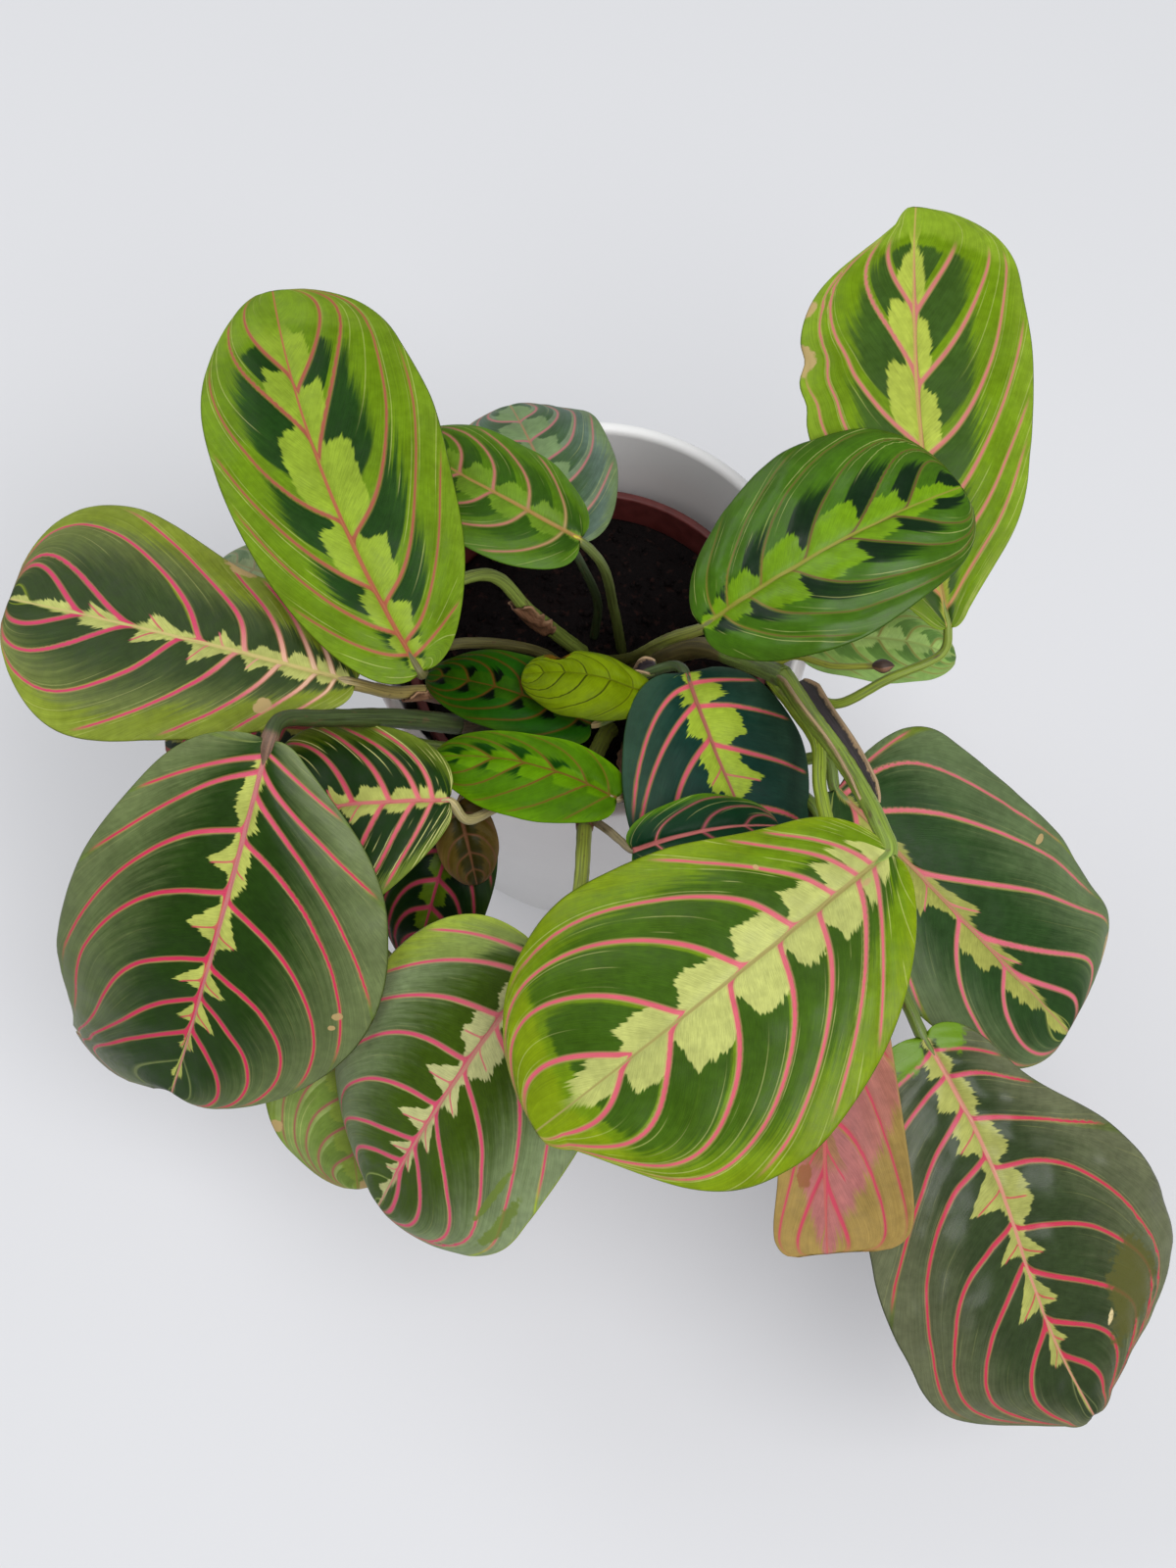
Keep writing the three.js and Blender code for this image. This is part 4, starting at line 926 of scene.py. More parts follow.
def soil_material(colour):
    """Nearly black moist soil with a few brown and grey bits."""
    s = Shader("soil")
    grain = s.noise(s.place(), scale=900.0, detail=5.0, roughness=0.7)
    bits = s.noise(s.place(), scale=330.0, detail=3.0)
    clouds = s.noise(s.place(), scale=60.0)
    paint = s.mix(s.ramp(bits, 0.58, 0.68, 0.0, 0.8), tuple(colour), linear((46, 28, 24)))
    paint = s.mix(s.ramp(clouds, 0.5, 0.7, 0.0, 0.3), paint, linear((34, 22, 22)))
    paint = s.shaded(paint, s.spread(grain, 0.5, 1.6))
    normal = s.bump(grain, 0.9, 0.001)
    return s.surface(paint, s.spread(grain, 0.65, 0.95), normal, **{"Specular IOR Level": 0.12})


# Meshes


class Body:
    """Points, faces, a material slot for each face and the vectors that the shaders read, in millimetres."""

    VECTORS = ("blade_place", "blade_veins", "blade_cells", "stalk_place")

    def __init__(self):
        self.points = []
        self.faces = []
        self.slots = []
        self.vectors = {name: [] for name in self.VECTORS}
        self.count = 0

    def add(self, points, faces, slots, **vectors):
        """Adds points and faces, with one material slot for all the faces or a list of one for each."""
        points = np.asarray(points, float).reshape(-1, 3)
        self.faces += [tuple(int(i) + self.count for i in face) for face in faces]
        self.slots += slots if isinstance(slots, list) else [slots] * len(faces)
        self.points.append(points)
        for name, held in self.vectors.items():
            held.append(np.asarray(vectors.get(name, np.zeros_like(points)), float).reshape(-1, 3))
        self.count += len(points)

    def build(self, name, materials):
        mesh = bpy.data.meshes.new(name)
        mesh.from_pydata((np.concatenate(self.points) * MM).tolist(), [], self.faces)
        for key, held in self.vectors.items():
            attribute = mesh.attributes.new(key, "FLOAT_VECTOR", "POINT")
            attribute.data.foreach_set("vector", np.concatenate(held).astype(np.float32).ravel())
        mesh.polygons.foreach_set("material_index", self.slots)
        mesh.polygons.foreach_set("use_smooth", [True] * len(self.faces))
        for material in materials:
            mesh.materials.append(material)
        mesh.validate()
        mesh.update()
        thing = bpy.data.objects.new(name, mesh)
        bpy.context.scene.collection.objects.link(thing)
        return thing


def show(thing, slot, *nodes):
    """Lets a finished piece stand for its CAD nodes."""
    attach(thing, BODY)
    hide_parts(*nodes)


def finish(body, node, materials):
    """Builds a body as the finished piece of one CAD node."""
    slot = next(part["material_slot"] for part in frame["record"]["subparts"] if part["node"] == node)
    show(body.build(node + "_fine", materials), slot, node)


def unit(vector):
    return vector / np.linalg.norm(vector, axis=-1, keepdims=True)


def smoothstep(low, high, value):
    x = np.clip((value - low) / (high - low), 0, 1)
    return x * x * (3 - 2 * x)


def between(ends, share):
    """The value at a share of the way from the first of two ends to the second."""
    return ends[0] + (ends[1] - ends[0]) * share


def stacked(*parts):
    """Arrays brought to one shape and set side by side along a new last axis."""
    return np.stack(np.broadcast_arrays(*parts), axis=-1)


def distances(path):
    """How far along a path each of its points lies."""
    return np.concatenate([[0], np.cumsum(np.linalg.norm(np.diff(path, axis=0), axis=1))])


def jitter(points, scale, amount, seed=0.0):
    """Smooth random shifts, one for each point, of about amount."""
    return np.array([noise.noise(Vector(p) * scale + Vector((seed, 0, 0))) for p in points]) * amount


def hermite(x, ends, slopes):
    """A cubic curve at the shares x of its way, with its two ends and its slopes there."""
    level = (2 * x**3 - 3 * x**2 + 1) * ends[0] + (3 * x**2 - 2 * x**3) * ends[1]
    return level + (x**3 - 2 * x**2 + x) * slopes[0] + (x**3 - x**2) * slopes[1]


def smooth_path(points, step=1.0):
    """Points about step apart on the centripetal curve through the given ones."""
    points = np.array(points, float)
    held = np.vstack([2 * points[0] - points[1], points, 2 * points[-1] - points[-2]])
    path = []
    for a, b, c, d in zip(held, held[1:], held[2:], held[3:]):
        ab, bc, cd = (math.sqrt(np.linalg.norm(q - p)) for p, q in ((a, b), (b, c), (c, d)))
        leave = ((b - a) / ab - (c - a) / (ab + bc) + (c - b) / bc) * bc
        arrive = ((c - b) / bc - (d - b) / (bc + cd) + (d - c) / cd) * bc
        steps = max(2, round(np.linalg.norm(c - b) / step))
        path += [hermite(i / steps, (b, c), (leave, arrive)) for i in range(steps)]
    return np.array([*path, points[-1]])


def carried_frames(path):
    """The direction of a path at each point, and two directions across it that turn as little as they can."""
    along = unit(np.gradient(path, axis=0))
    normal = unit(np.cross(along[0], UP + np.array([0.1, 0.2, 0.0])))
    normals = []
    for direction in along:
        normal = unit(normal - direction * np.dot(normal, direction))
        normals.append(normal)
    normals = np.array(normals)
    return along, normals, np.cross(along, normals)


def grid_faces(rows, columns, closed=False):
    """The four-sided faces between rows of points, whose last point meets the first when closed."""
    faces = []
    for i in range(rows - 1):
        for j in range(columns if closed else columns - 1):
            k = (j + 1) % columns
            faces.append((i * columns + j, i * columns + k, (i + 1) * columns + k, (i + 1) * columns + j))
    return faces


def ring_faces(rings, sides):
    """The faces of a closed body of rings of points, with a point for each of its ends after them."""
    faces = grid_faces(rings, sides, closed=True)
    last, tip = (rings - 1) * sides, rings * sides
    for j in range(sides):
        k = (j + 1) % sides
        faces += [(k, j, tip), (last + j, last + k, tip + 1)]
    return faces


def flipped(faces, points):
    """The faces turned over, each on the points that stand at its numbers in points."""
    return [tuple(points[i] for i in (face[0], *face[:0:-1])) for face in faces]


def add_tube(body, path, radii, slot, sides=14, grain=0.06):
    """A round closed stalk along path, with a radius at each point."""
    along, first, second = carried_frames(path)
    angles = np.linspace(0, 2 * math.pi, sides, endpoint=False)
    cosine, sine = np.cos(angles), np.sin(angles)
    ring = first[:, None] * cosine[:, None] + second[:, None] * sine[:, None]
    points = (path[:, None] + ring * radii[:, None, None]).reshape(-1, 3)
    points = points + ring.reshape(-1, 3) * jitter(points, 0.35, grain * max(radii), 3.0)[:, None]
    ends = [path[0] - along[0] * radii[0] * 0.3, path[-1] + along[-1] * radii[-1] * 0.3]
    lengths = distances(path)
    from_end = lengths[-1] - lengths
    place = stacked(cosine, sine, from_end[:, None]).reshape(-1, 3)
    place = np.vstack([place, (0, 0, from_end[0]), (0, 0, 0)])
    body.add(np.vstack([points, ends]), ring_faces(len(path), sides), slot, stalk_place=place)


def add_trough(body, points, look, slot, aside=0.0, ragged=0.0):
    """An open sheath along a petiole, with its wall's outside, inside and rims."""
    path = smooth_path(points, 0.8)
    lengths = distances(path)
    share = lengths / lengths[-1]
    low, high = look["ends"]
    kept = (share >= low) & (share <= high)
    path, share = path[kept], (share[kept] - low) / (high - low)
    along = unit(np.gradient(path, axis=0))
    spine = np.array(look["spine"], float)
    back = unit(spine - along * (along @ spine)[:, None])
    side = np.cross(along, back)
    size = between(look["size"], share)
    centre = path + back * (aside - size)[:, None]
    over = np.linspace(-1, 1, SHEATH_ARCS + 1)
    taper = np.clip(np.minimum(share, 1 - share) / 0.12, 0, 1) ** 0.5
    reach = math.radians(180 - look["opening"] / 2) * (0.45 + 0.55 * taper)
    edge = 1 + ragged * np.array([noise.noise(Vector((s * 9.0, 2.0, 5.0))) for s in share])
    angle = over * (reach * edge)[:, None]
    ripple = ragged * 1.2 * np.sin(over * 7.0 + share[:, None] * 9.0)
    from_end = ((1 - share) * lengths[-1])[:, None]
    layers, places = [], []
    for inner, shift in ((0.0, 0.5), (1.0, -0.5)):
        radius = (size + shift * look["wall"])[:, None] + ripple
        backwards, sideways = (radius * np.cos(angle))[..., None], (radius * np.sin(angle))[..., None]
        layers.append(centre[:, None] + back[:, None] * backwards + side[:, None] * sideways)
        places.append(stacked(over, inner, from_end))

    rows, columns = angle.shape
    count = rows * columns
    outside = grid_faces(rows, columns)
    inside = flipped(outside, range(count, 2 * count))
    index = np.arange(count).reshape(rows, columns)
    margin = [*index[:-1, 0], *index[-1, :-1], *index[:0:-1, -1], *index[0, :0:-1]]
    rim = [(a, b, b + count, a + count) for a, b in zip(margin, margin[1:] + margin[:1])]
    body.add(np.stack(layers), outside + inside + rim, slot, stalk_place=np.stack(places))


def turned(name, profile, segments, materials):
    """A closed turned piece: profile is (radius, height) pairs from the axis round to the axis."""
    body = Body()
    angles = np.linspace(0, 2 * math.pi, segments, endpoint=False)
    points = [(r * math.cos(a), r * math.sin(a), z) for r, z in profile[1:-1] for a in angles]
    points += [(0, 0, profile[0][1]), (0, 0, profile[-1][1])]
    body.add(points, ring_faces(len(profile) - 2, segments), 0)
    thing = body.build(name, materials)
    thing.data.set_sharp_from_angle(angle=math.radians(50))
    return thing


def arc(centre, radius, start, end, steps=8):
    """Points of a round corner in a profile."""
    angles = np.radians(np.linspace(start, end, steps + 1))
    return [(centre[0] + radius * math.cos(a), centre[1] + radius * math.sin(a)) for a in angles]


# Blades


def curve_through(x, stations, values):
    """A smooth curve through values at stations, level beyond both ends."""
    stations, values = np.array(stations, float), np.array(values, float)
    slopes = np.gradient(values, stations)
    x = np.clip(x, stations[0], stations[-1])
    i = np.clip(np.searchsorted(stations, x) - 1, 0, len(stations) - 2)
    step = stations[i + 1] - stations[i]
    share = (x - stations[i]) / step
    return hermite(share, (values[i], values[i + 1]), (step * slopes[i], step * slopes[i + 1]))


def half_width(blade, t, side):
    """The distance from the midrib to the margin: side is 1 on the right of the midrib and -1 on its left."""
    a, b = blade["full_base"], blade["full_tip"]
    widest = a / (a + b)
    outline = t**a * (1 - t) ** b / (widest**a * (1 - widest) ** b)
    left, right = (curve_through(t, EDGE_STATIONS, blade[key]) for key in ("left", "right"))
    return blade["width"] / 2 * outline * (1 + blade["skew"] * side) * np.where(side > 0, right, left)


def midrib(blade, t):
    """The midrib's points and their frames, at fractions t of its length."""
    start = np.array(blade["base"], float)
    chord = np.array(blade["tip"], float) - start
    aside = unit(np.cross(chord, UP))
    rise = unit(np.cross(aside, chord))
    bow = rise * blade["arch"] + aside * blade["sway"]
    t = np.asarray(t, float)[..., None]
    point = start + chord * t + bow * 4 * t * (1 - t) + aside * blade["snake"] * np.sin(2 * math.pi * t)
    along = unit(chord + bow * 4 * (1 - 2 * t))
    flat = unit(np.cross(along, UP))
    upright = np.cross(flat, along)
    roll = math.radians(blade["roll"])
    across = flat * math.cos(roll) + upright * math.sin(roll)
    return point, across, np.cross(across, along)


def regular_veins(blade):
    """Evenly spaced veins for one side of a small leaf."""
    veins = []
    for k in range(round(blade["veins"])):
        start = (k + 0.4) / blade["veins"] * 0.9
        sweep = blade["sweep"] * (1 - 0.6 * (2 * start - 1) ** 2)
        veins.append((start, start + 0.3 * sweep, start + sweep, *blade["cell"]))
    return veins


def vein_places(veins, u):
    """Where each vein of one side lies along the blade, at the share u of the way out: it leaves the midrib
    steeply, bends towards the tip through its two read places, and runs on straight from the outer one."""
    middle, outer = READ_AT
    reach = min(u, outer) / middle
    places = []
    for start, half_out, near_margin, *_ in veins:
        early, late = 0.45 * (half_out - start), 0.55 * (half_out - start)
        rest = near_margin - start - early * math.sqrt(outer / middle)
        power = min(max(math.log(max(rest / late, 1.05)) / math.log(outer / middle), 1), 6)
        place = start + early * math.sqrt(reach) + late * reach**power
        slope = late * power * (outer / middle) ** (power - 1) / middle
        place += max(u - outer, 0) * min(slope, 2.5)
        if places:
            place = max(place, places[-1] + LEAST_GAP)
        places.append(place)
    return np.array(places)


def vein_phase(veins, t, u):
    """Counts one side's veins from the blade's base: vein number k lies wherever this is k."""
    places = vein_places(veins, u)
    first, last = max(places[1] - places[0], 0.05), max(places[-1] - places[-2], 0.05)
    beyond = np.arange(1, 9)
    places = np.concatenate([places[0] - first * beyond[::-1], places, places[-1] + last * beyond])
    return np.interp(t, places, np.arange(-8, len(veins) + 8))


def blade_grid(blade, sides, spacing, relief):
    """The middle surface of a blade on a grid: its points, their normals, their distance to the right of the
    midrib and the vectors that the shader reads."""
    length = math.dist(blade["base"], blade["tip"])
    rows = max(24, round(length / spacing))
    columns = max(9, round(blade["width"] / 2 / (1.25 * spacing)))
    even = np.linspace(0, 1, rows + 1)
    t = 0.5 * even + 0.25 * (1 - np.cos(math.pi * even))
    t = TIP_INSET + t * (1 - 2 * TIP_INSET)
    half_row = np.concatenate([[0.02, 0.045], np.linspace(0.08, 0.94, columns), [0.965, 0.985, 1.0]])
    u = np.concatenate([-half_row[::-1], [0.0], half_row])
    t, u = t[:, None], u[None, :]
    out, side = np.abs(u), np.sign(u)

    # The outline, with lobes past both ends of the midrib, and nicks
    lobe = blade["lobe"] * LOBE_PEAK / length * u**2 * np.sqrt(t) * (1 - t) ** 4
    ahead = np.where(side > 0, blade["ahead"][1], blade["ahead"][0])
    ahead = ahead * LOBE_PEAK / length * u**2 * np.sqrt(1 - t) * t**4
    point, across, normal = midrib(blade, t - lobe + ahead)
    half = half_width(blade, t, side)
    for which, middle, depth, wide in blade["nicks"]:
        notch = depth * np.exp(-(((t - middle) / wide) ** 2))
        half = half * (1 - notch * (side == which) * smoothstep(0.2, 0.95, out))

    # The curl of each half, and the margin's waves
    fold, curl = math.radians(FOLD), math.radians(CURL)
    turn = fold - curl * out
    lateral = half * (math.sin(fold) - np.sin(turn)) / curl * side
    height = half * (np.cos(turn) - math.cos(fold)) / curl
    wave = np.sin(2 * math.pi * (WAVES * t + 0.5 * (u > 0)))
    height = height + blade["wave"] * wave * out**2.5 * np.sqrt(np.sin(math.pi * np.clip(t, 0, 1)))

    # The veins' places, and the relief between them
    phase = np.zeros(half.shape)
    cells = np.zeros((*half.shape, 3))
    for j, place in enumerate(u[0]):
        veins = sides[int(place > 0)]
        phase[:, j] = vein_phase(veins, t[:, 0], abs(place))
        number = np.clip(np.floor(phase[:, j]).astype(int), 0, len(veins) - 1)
        cells[:, j] = np.array([vein[3:] for vein in veins])[number]
    ends = smoothstep(0, 0.1, t) * (1 - smoothstep(0.88, 1, t))
    inner = smoothstep(0.04, 0.3, out) * (1 - smoothstep(0.8, 1, out))
    puffed = 0.5 - 0.5 * np.cos(2 * math.pi * phase)
    height = height + relief * blade["quilt"] * puffed * inner * ends
    height = height - RIB_GROOVE * np.exp(-((lateral / 1.3) ** 2)) * (1 - t) * smoothstep(0, 0.03, t)
    middle = point + across * lateral[..., None] + normal * height[..., None]
    flat = middle.reshape(-1, 3)
    crinkle = jitter(flat, 0.09, 1.1 * blade["quilt"], 7.0) + jitter(flat, 0.22, 0.35 * blade["quilt"], 11.0)
    middle = middle + normal * crinkle.reshape(middle.shape[:2])[..., None] * (ends * relief)[..., None]

    # How far apart the veins are at each point, from the slopes of the surface and of the phase
    d_row, d_column = np.gradient(middle, t[:, 0], axis=0), np.gradient(middle, u[0], axis=1)
    p_row, p_column = np.gradient(phase, t[:, 0], axis=0), np.gradient(phase, u[0], axis=1)
    e, f, g = (d_row**2).sum(-1), (d_row * d_column).sum(-1), (d_column**2).sum(-1)
    steep = np.sqrt(np.maximum(g * p_row**2 - 2 * f * p_row * p_column + e * p_column**2, 1e-9))
    apart = np.clip(np.sqrt(np.maximum(e * g - f * f, 1e-9)) / steep, 0.3, 40)
    vectors = {
        "blade_place": stacked(u, t, (1 - out) * half),
        "blade_veins": stacked(phase, apart, lateral),
        "blade_cells": cells,
    }
    return middle, unit(np.cross(d_column, d_row)), lateral, vectors


def add_blade(body, blade, sides, thickness, spacing, relief):
    """The blade as one closed thin body: slot 0 is its top and slot 1 its underside, with the rib below."""
    middle, normal, lateral, vectors = blade_grid(blade, sides, spacing, relief)
    rows, columns = lateral.shape
    inside = np.zeros((rows, columns), bool)
    inside[1:-1, 1:-1] = True
    along = vectors["blade_place"][..., 1]
    rib = RIB_HEIGHT * np.exp(-((lateral / 0.9) ** 2)) * (1 - 0.85 * along)
    top = middle + normal * (inside * thickness / 2)[..., None]
    under = middle - normal * (inside * (thickness / 2 + rib))[..., None]
    lower = np.arange(rows * columns).reshape(rows, columns)
    lower[inside] = rows * columns + np.arange(inside.sum())
    top_faces = grid_faces(rows, columns)
    faces = top_faces + flipped(top_faces, lower.ravel())
    slots = [0] * len(top_faces) + [1] * len(top_faces)
    vectors = {name: np.concatenate([v.reshape(-1, 3), v[inside]]) for name, v in vectors.items()}
    body.add(np.concatenate([top.reshape(-1, 3), under[inside]]), faces, slots, **vectors)


def petiole_path(blade, rooted):
    """The route of a petiole, from the soil or its stem to under the blade's base."""
    points = [np.array(p, float) for p in blade["petiole"]]
    if rooted:
        points.insert(0, points[0] - UP * ROOTING_DEPTH)
    for t, depth in ((0.0, 0.8), (0.05, 1.15), (0.13, 1.0)):
        point, _, normal = midrib(blade, [t])
        points.append(point[0] - normal[0] * (depth * blade["radius"][1]))
    return smooth_path(points)


def petiole_radii(path, radius, knee_length):
    """Radii along a petiole: thicker at its foot, a slight swelling at the knee, and thin under the blade."""
    lengths = distances(path)
    from_end = lengths[-1] - lengths
    radii = between(radius, lengths / lengths[-1])
    knee = smoothstep(knee_length + 3, knee_length, from_end) * smoothstep(4, 8, from_end)
    return radii * (1 + 0.12 * knee) * (0.35 + 0.65 * smoothstep(0, 13, from_end))


def make_leaf(name, spec, underside):
    blade = {**BLADE, **spec}
    leaf = settings("leaf")
    sides = VEINS.get(name) or (regular_veins(blade), regular_veins(blade))
    body = Body()
    add_blade(body, blade, sides, leaf.thickness / MM, leaf.spacing / MM, leaf.relief)
    rooted = blade["petiole"][0][2] <= settings("soil").top / MM
    path = petiole_path(blade, rooted)
    look = PETIOLE_LOOKS.get(name, PETIOLE_LOOK)
    add_tube(body, path, petiole_radii(path, blade["radius"], look[2]), 2)
    counts = [len(side) for side in sides]
    top = blade_material(name + "_top", LOOKS[name], counts, MARKS.get(name, ()))
    materials = [top, underside, stalk_material(name + "_petiole", look)]
    if name in OPEN_SHEATHS:
        add_trough(body, blade["petiole"], OPEN_SHEATHS[name], 3)
        materials.append(sheath_material(name + "_sheath", (118, 134, 46), (52, 44, 48), (176, 146, 112)))
    if name == "leaf_hanging":
        materials[0], materials[1] = underside, top
    finish(body, name, materials)


# Operators


class PLANT_OT_white_pot(bpy.types.Operator):
    """Turns the white pot, with rounded edges and a satin glaze."""

    bl_idname = "plant.white_pot"
    bl_label = "White pot"

    def execute(self, context):
        pot = settings("pot")
        height, mouth, rim, foot = (v / MM for v in (pot.height, pot.mouth, pot.rim, pot.foot))
        floor, corner, recess, stand = 6.0, 4.0, 0.8, 12.0
        lip = (rim - mouth) / 2
        inner_foot = foot - (rim - mouth)
        profile = [(0, recess), (foot - stand - 2, recess), (foot - stand, 0)]
        profile += arc((foot - corner, corner), corner, -90, 0)
        outer_ends = (foot, rim), (corner, height)
        profile += [tuple(between(ends, share) for ends in outer_ends) for share in (0.3, 0.6, 0.9)]
        profile += arc((rim - lip, height - lip), lip, 0, 180)
        inner_ends = (mouth, inner_foot), (height, floor + corner)
        profile += [tuple(between(ends, share) for ends in inner_ends) for share in (0.3, 0.6)]
        profile += arc((inner_foot - corner, floor + corner), corner, 0, -90)
        profile += [(0, floor)]
        thing = turned("white_pot_fine", profile, 160, [glaze_material(pot.glaze)])
        show(thing, "white_glaze", "outer_pot")
        return {"FINISHED"}


class PLANT_OT_nursery_pot(bpy.types.Operator):
    """Finishes the nursery pot in scuffed red-brown plastic."""

    bl_idname = "plant.nursery_pot"
    bl_label = "Nursery pot"

    def execute(self, context):
        top, rim, foot, base = 101.0, 58.0, 43.0, 6.3
        wall, lip, skirt, round_edge, slant = 1.2, 1.6, 7.0, 0.8, 2.0
        inner_rim = rim - lip - wall
        profile = [(0, base), (foot - slant, base), (foot, base + slant)]
        profile += [(rim - lip, top - skirt), (rim - 0.4, top - skirt), (rim, top - skirt + 0.5)]
        profile += arc((rim - round_edge, top - round_edge), round_edge, 0, 90)
        profile += arc((inner_rim + round_edge, top - round_edge), round_edge, 90, 180)
        profile += [(inner_rim, top - skirt), (foot - wall, base + wall + slant)]
        profile += [(foot - wall - slant, base + wall), (0, base + wall)]
        thing = turned("nursery_pot_fine", profile, 128, [plastic_material(settings("pot").plastic)])
        show(thing, "brown_plastic", "nursery_pot")
        return {"FINISHED"}


class PLANT_OT_soil(bpy.types.Operator):
    """Heaps the soil in lumps, with loose crumbs on top."""

    bl_idname = "plant.soil"
    bl_label = "Soil"

    def execute(self, context):
        soil = settings("soil")
        low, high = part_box("soil")
        radius, bottom, top = high.x / MM, low.z / MM, soil.top / MM
        rings = [(radius * i / SOIL_RINGS, top) for i in range(1, SOIL_RINGS + 1)]
        rings.append((SOIL_FOOT * radius, bottom))
        angles = [2 * math.pi * j / SOIL_SPOKES for j in range(SOIL_SPOKES)]
        points = [(r * math.cos(a), r * math.sin(a), z) for r, z in rings for a in angles]
        points = np.array([*points, (0, 0, top), (0, 0, bottom)])
        lumps = soil.roughness / MM
        from_axis = np.hypot(points[:, 0], points[:, 1]) / radius
        lumpy = (1 - smoothstep(0.94, 1, from_axis)) * (points[:, 2] > bottom)
        heap = jitter(points, 0.09, 1.2 * lumps) + jitter(points, 0.35, lumps, 5.0)
        heap = heap + jitter(points, 1.1, 0.5 * lumps, 9.0)
        points[:, 2] += (heap - 0.3) * lumpy
        body = Body()
        body.add(points, flipped(ring_faces(len(rings), SOIL_SPOKES), range(len(points))), 0)
        self.add_crumbs(body, radius, top)
        finish(body, "soil", [soil_material(soil.colour)])
        return {"FINISHED"}

    def add_crumbs(self, body, radius, top):
        """Loose crumbs of many sizes, sunk a little into the surface."""
        random = np.random.default_rng(4)
        corners = unit(np.array([(x, y, z) for x in (-1, 1) for y in (-1, 1) for z in (-1, 1)], float))
        sides = [(0, 1, 3, 2), (4, 6, 7, 5), (0, 4, 5, 1), (2, 3, 7, 6), (0, 2, 6, 4), (1, 5, 7, 3)]
        for _ in range(CRUMBS):
            reach, angle = radius * 0.95 * math.sqrt(random.random()), random.uniform(0, 2 * math.pi)
            size = 0.5 + 1.6 * random.random() ** 3
            turn = np.linalg.qr(random.normal(size=(3, 3)))[0]
            lump = (corners * random.uniform(0.6, 1.1, (8, 1))) @ (turn * np.sign(np.linalg.det(turn))) * size
            middle = (reach * math.cos(angle), reach * math.sin(angle), top + 0.2 * size)
            body.add(lump * (1, 1, 0.7) + middle, sides, 0)


class PLANT_OT_stems(bpy.types.Operator):
    """Grows the stems that several petioles start from."""

    bl_idname = "plant.stems"
    bl_label = "Stems"

    def execute(self, context):
        for name, (radius, route) in STEMS.items():
            path = smooth_path([np.array(route[0], float) - UP * ROOTING_DEPTH, *route])
            share = np.linspace(0, 1, len(path))
            radii = between(radius, share) * (1 + 0.1 * np.exp(-(((share - 0.97) / 0.03) ** 2)))
            body = Body()
            add_tube(body, path, radii, 0, sides=18)
            finish(body, name, [stalk_material(name, STEM_LOOKS[name])])
        return {"FINISHED"}


class PLANT_OT_leaves(bpy.types.Operator):
    """Grows every leaf: its blade with veins in relief, its petiole and, on two, its sheath."""

    bl_idname = "plant.leaves"
    bl_label = "Leaves"

    def execute(self, context):
        underside = blade_material("leaf_underside", UNDERSIDE, (6, 6))
        for name, spec in LEAVES.items():
            make_leaf(name, spec, underside)
        return {"FINISHED"}


class PLANT_OT_dry_sheaths(bpy.types.Operator):
    """Curls the dried sheaths round their petioles."""

    bl_idname = "plant.dry_sheaths"
    bl_label = "Dried sheaths"

    def execute(self, context):
        paper = sheath_material("dry_sheath", (112, 78, 54), (84, 54, 38), (150, 116, 84))
        for name, look in DRY_SHEATHS.items():
            leaf = LEAVES[look["leaf"]]
            body = Body()
            aside = leaf["radius"][0] + CLEARANCE + look["wall"] / 2
            add_trough(body, leaf["petiole"], look, 0, aside, ragged=0.25)
            finish(body, name, [paper])
        return {"FINISHED"}


class PLANT_OT_flower_stalk(bpy.types.Operator):
    """Sets the thin flower stalk with its dried bud."""

    bl_idname = "plant.flower_stalk"
    bl_label = "Flower stalk"

    def execute(self, context):
        path = smooth_path(FLOWER_ROUTE)
        body = Body()
        add_tube(body, path, between(FLOWER_RADIUS, np.linspace(0, 1, len(path))), 0)
        heading = unit(path[-1] - path[-3])
        steps = np.linspace(-0.25, 0.75, 15)
        bud_path = path[-1] + heading * BUD_LENGTH * steps[:, None]
        swell = np.sin(math.pi * np.clip(steps + 0.27, 0.02, 0.99)) ** 0.6
        add_tube(body, bud_path, np.maximum(BUD_RADIUS * swell, 0.3), 1, sides=20, grain=0.35)
        stalk = stalk_material("flower_stalk", ((140, 146, 50), (120, 120, 50), 2.0))
        bud = sheath_material("flower_bud", (60, 42, 32), (60, 42, 32), (120, 84, 60))
        finish(body, "flower_stalk", [stalk, bud])
        return {"FINISHED"}


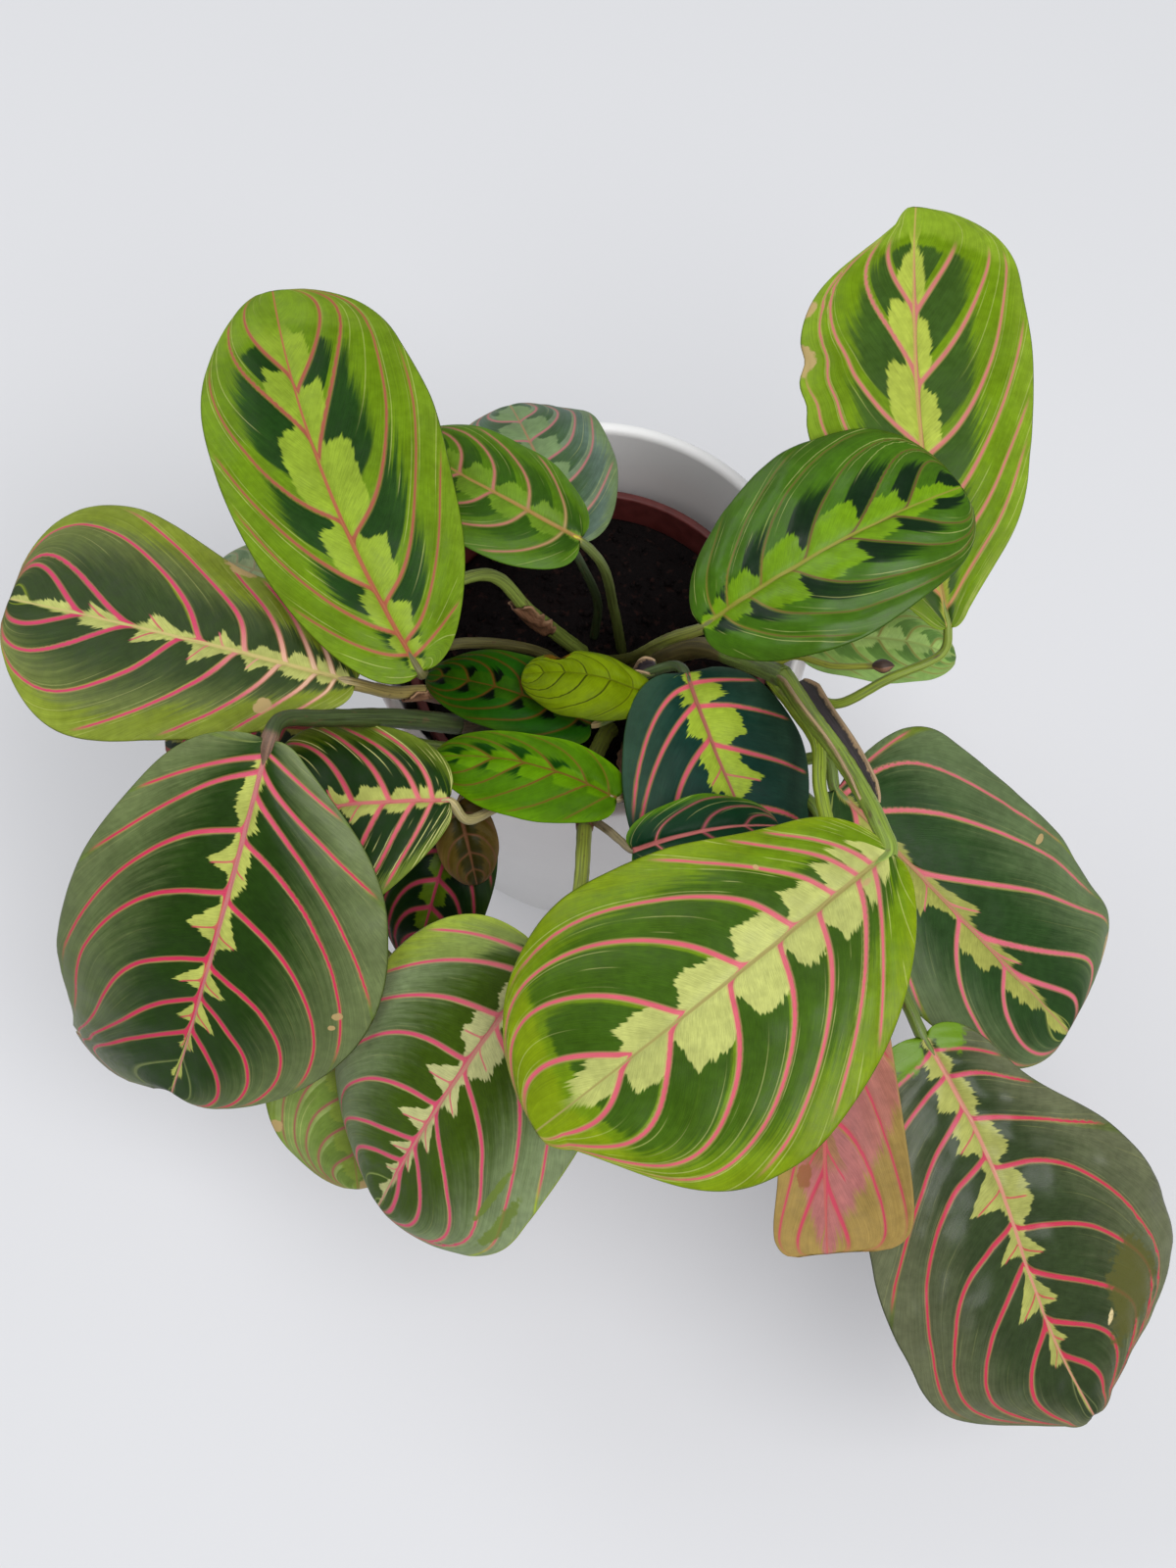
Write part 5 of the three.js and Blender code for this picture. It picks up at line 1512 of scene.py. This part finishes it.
class PLANT_OT_stage(bpy.types.Operator):
    """Sets the pale floor, the soft light and the camera at the photograph's angle."""

    bl_idname = "plant.stage"
    bl_label = "Stage"

    def execute(self, context):
        stage = settings("stage")
        scene = context.scene
        mesh = bpy.data.meshes.new("floor")
        corners = [(x * FLOOR_REACH, y * FLOOR_REACH, 0) for x, y in ((-1, -1), (1, -1), (1, 1), (-1, 1))]
        mesh.from_pydata(corners, [], [(0, 1, 2, 3)])
        floor = bpy.data.objects.new("floor", mesh)
        s = Shader("floor")
        paint = s.shaded(tuple(stage.floor), s.spread(s.noise(s.place(), scale=1.5), 0.98, 1.0))
        glow = {"Emission Color": (0.95, 0.97, 1, 1), "Emission Strength": stage.glow}
        mesh.materials.append(s.surface(paint, 0.7, **glow))
        scene.collection.objects.link(floor)
        world = bpy.data.worlds.new("room")
        world.use_nodes = True
        sockets = world.node_tree.nodes["Background"].inputs
        sockets["Color"].default_value = (0.94, 0.97, 1.0, 1)
        sockets["Strength"].default_value = stage.sky
        scene.world = world
        self.add_light("key", (0.65, -0.9, 2.1), stage.key)
        self.add_light("fill", (-1.2, 1.0, 1.8), 0.4 * stage.key)
        scene.view_settings.view_transform = "Standard"
        self.add_camera(scene)
        return {"FINISHED"}

    def add_light(self, name, place, power):
        """A large round lamp that is aimed at the plant."""
        data = bpy.data.lights.new(name, "AREA")
        data.shape = "DISK"
        data.size = LIGHT_SIZE
        data.energy = power
        light = bpy.data.objects.new(name, data)
        light.location = place
        aim = Vector(LIGHT_TARGET) - Vector(place)
        light.rotation_euler = aim.to_track_quat("-Z", "Y").to_euler()
        bpy.context.scene.collection.objects.link(light)

    def add_camera(self, scene):
        pitch = math.radians(CAMERA_PITCH)
        forward = Vector((0, math.cos(pitch), -math.sin(pitch)))
        data = bpy.data.cameras.new("camera")
        data.sensor_fit = "VERTICAL"
        data.sensor_height = 36.0
        data.lens = CAMERA_LENS
        data.clip_start = 0.01
        camera = bpy.data.objects.new("camera", data)
        camera.location = (Vector(CAMERA_TARGET) - forward * CAMERA_DISTANCE) * MM
        camera.rotation_euler = forward.to_track_quat("-Z", "Y").to_euler()
        scene.collection.objects.link(camera)
        scene.camera = camera


class PLANT_PT_panel(bpy.types.Panel):
    """Lists the settings and the steps in the sidebar."""

    bl_label = "Prayer plant"
    bl_space_type = "VIEW_3D"
    bl_region_type = "UI"
    bl_category = "Prayer plant"

    def draw(self, context):
        for kind in SETTINGS:
            box = self.layout.box()
            for name in settings(kind).bl_rna.properties.keys():
                if name not in ("name", "rna_type"):
                    box.prop(settings(kind), name)
        for step in STEPS:
            self.layout.operator(step.bl_idname)


SETTINGS = {
    "pot": PlantPotSettings,
    "soil": PlantSoilSettings,
    "leaf": PlantLeafSettings,
    "stage": PlantStageSettings,
}
STEPS = (
    PLANT_OT_white_pot,
    PLANT_OT_nursery_pot,
    PLANT_OT_soil,
    PLANT_OT_stems,
    PLANT_OT_leaves,
    PLANT_OT_dry_sheaths,
    PLANT_OT_flower_stalk,
    PLANT_OT_stage,
)


def register():
    for kind, group in SETTINGS.items():
        bpy.utils.register_class(group)
        setattr(bpy.types.Scene, "plant_" + kind, bpy.props.PointerProperty(type=group))
    for step in (*STEPS, PLANT_PT_panel):
        bpy.utils.register_class(step)


def unregister():
    for step in reversed((*STEPS, PLANT_PT_panel)):
        bpy.utils.unregister_class(step)
    for kind, group in SETTINGS.items():
        delattr(bpy.types.Scene, "plant_" + kind)
        bpy.utils.unregister_class(group)


def main():
    register()
    for step in STEPS:
        group, name = step.bl_idname.split(".")
        getattr(getattr(bpy.ops, group), name)()


if __name__ == "__main__":
    main()
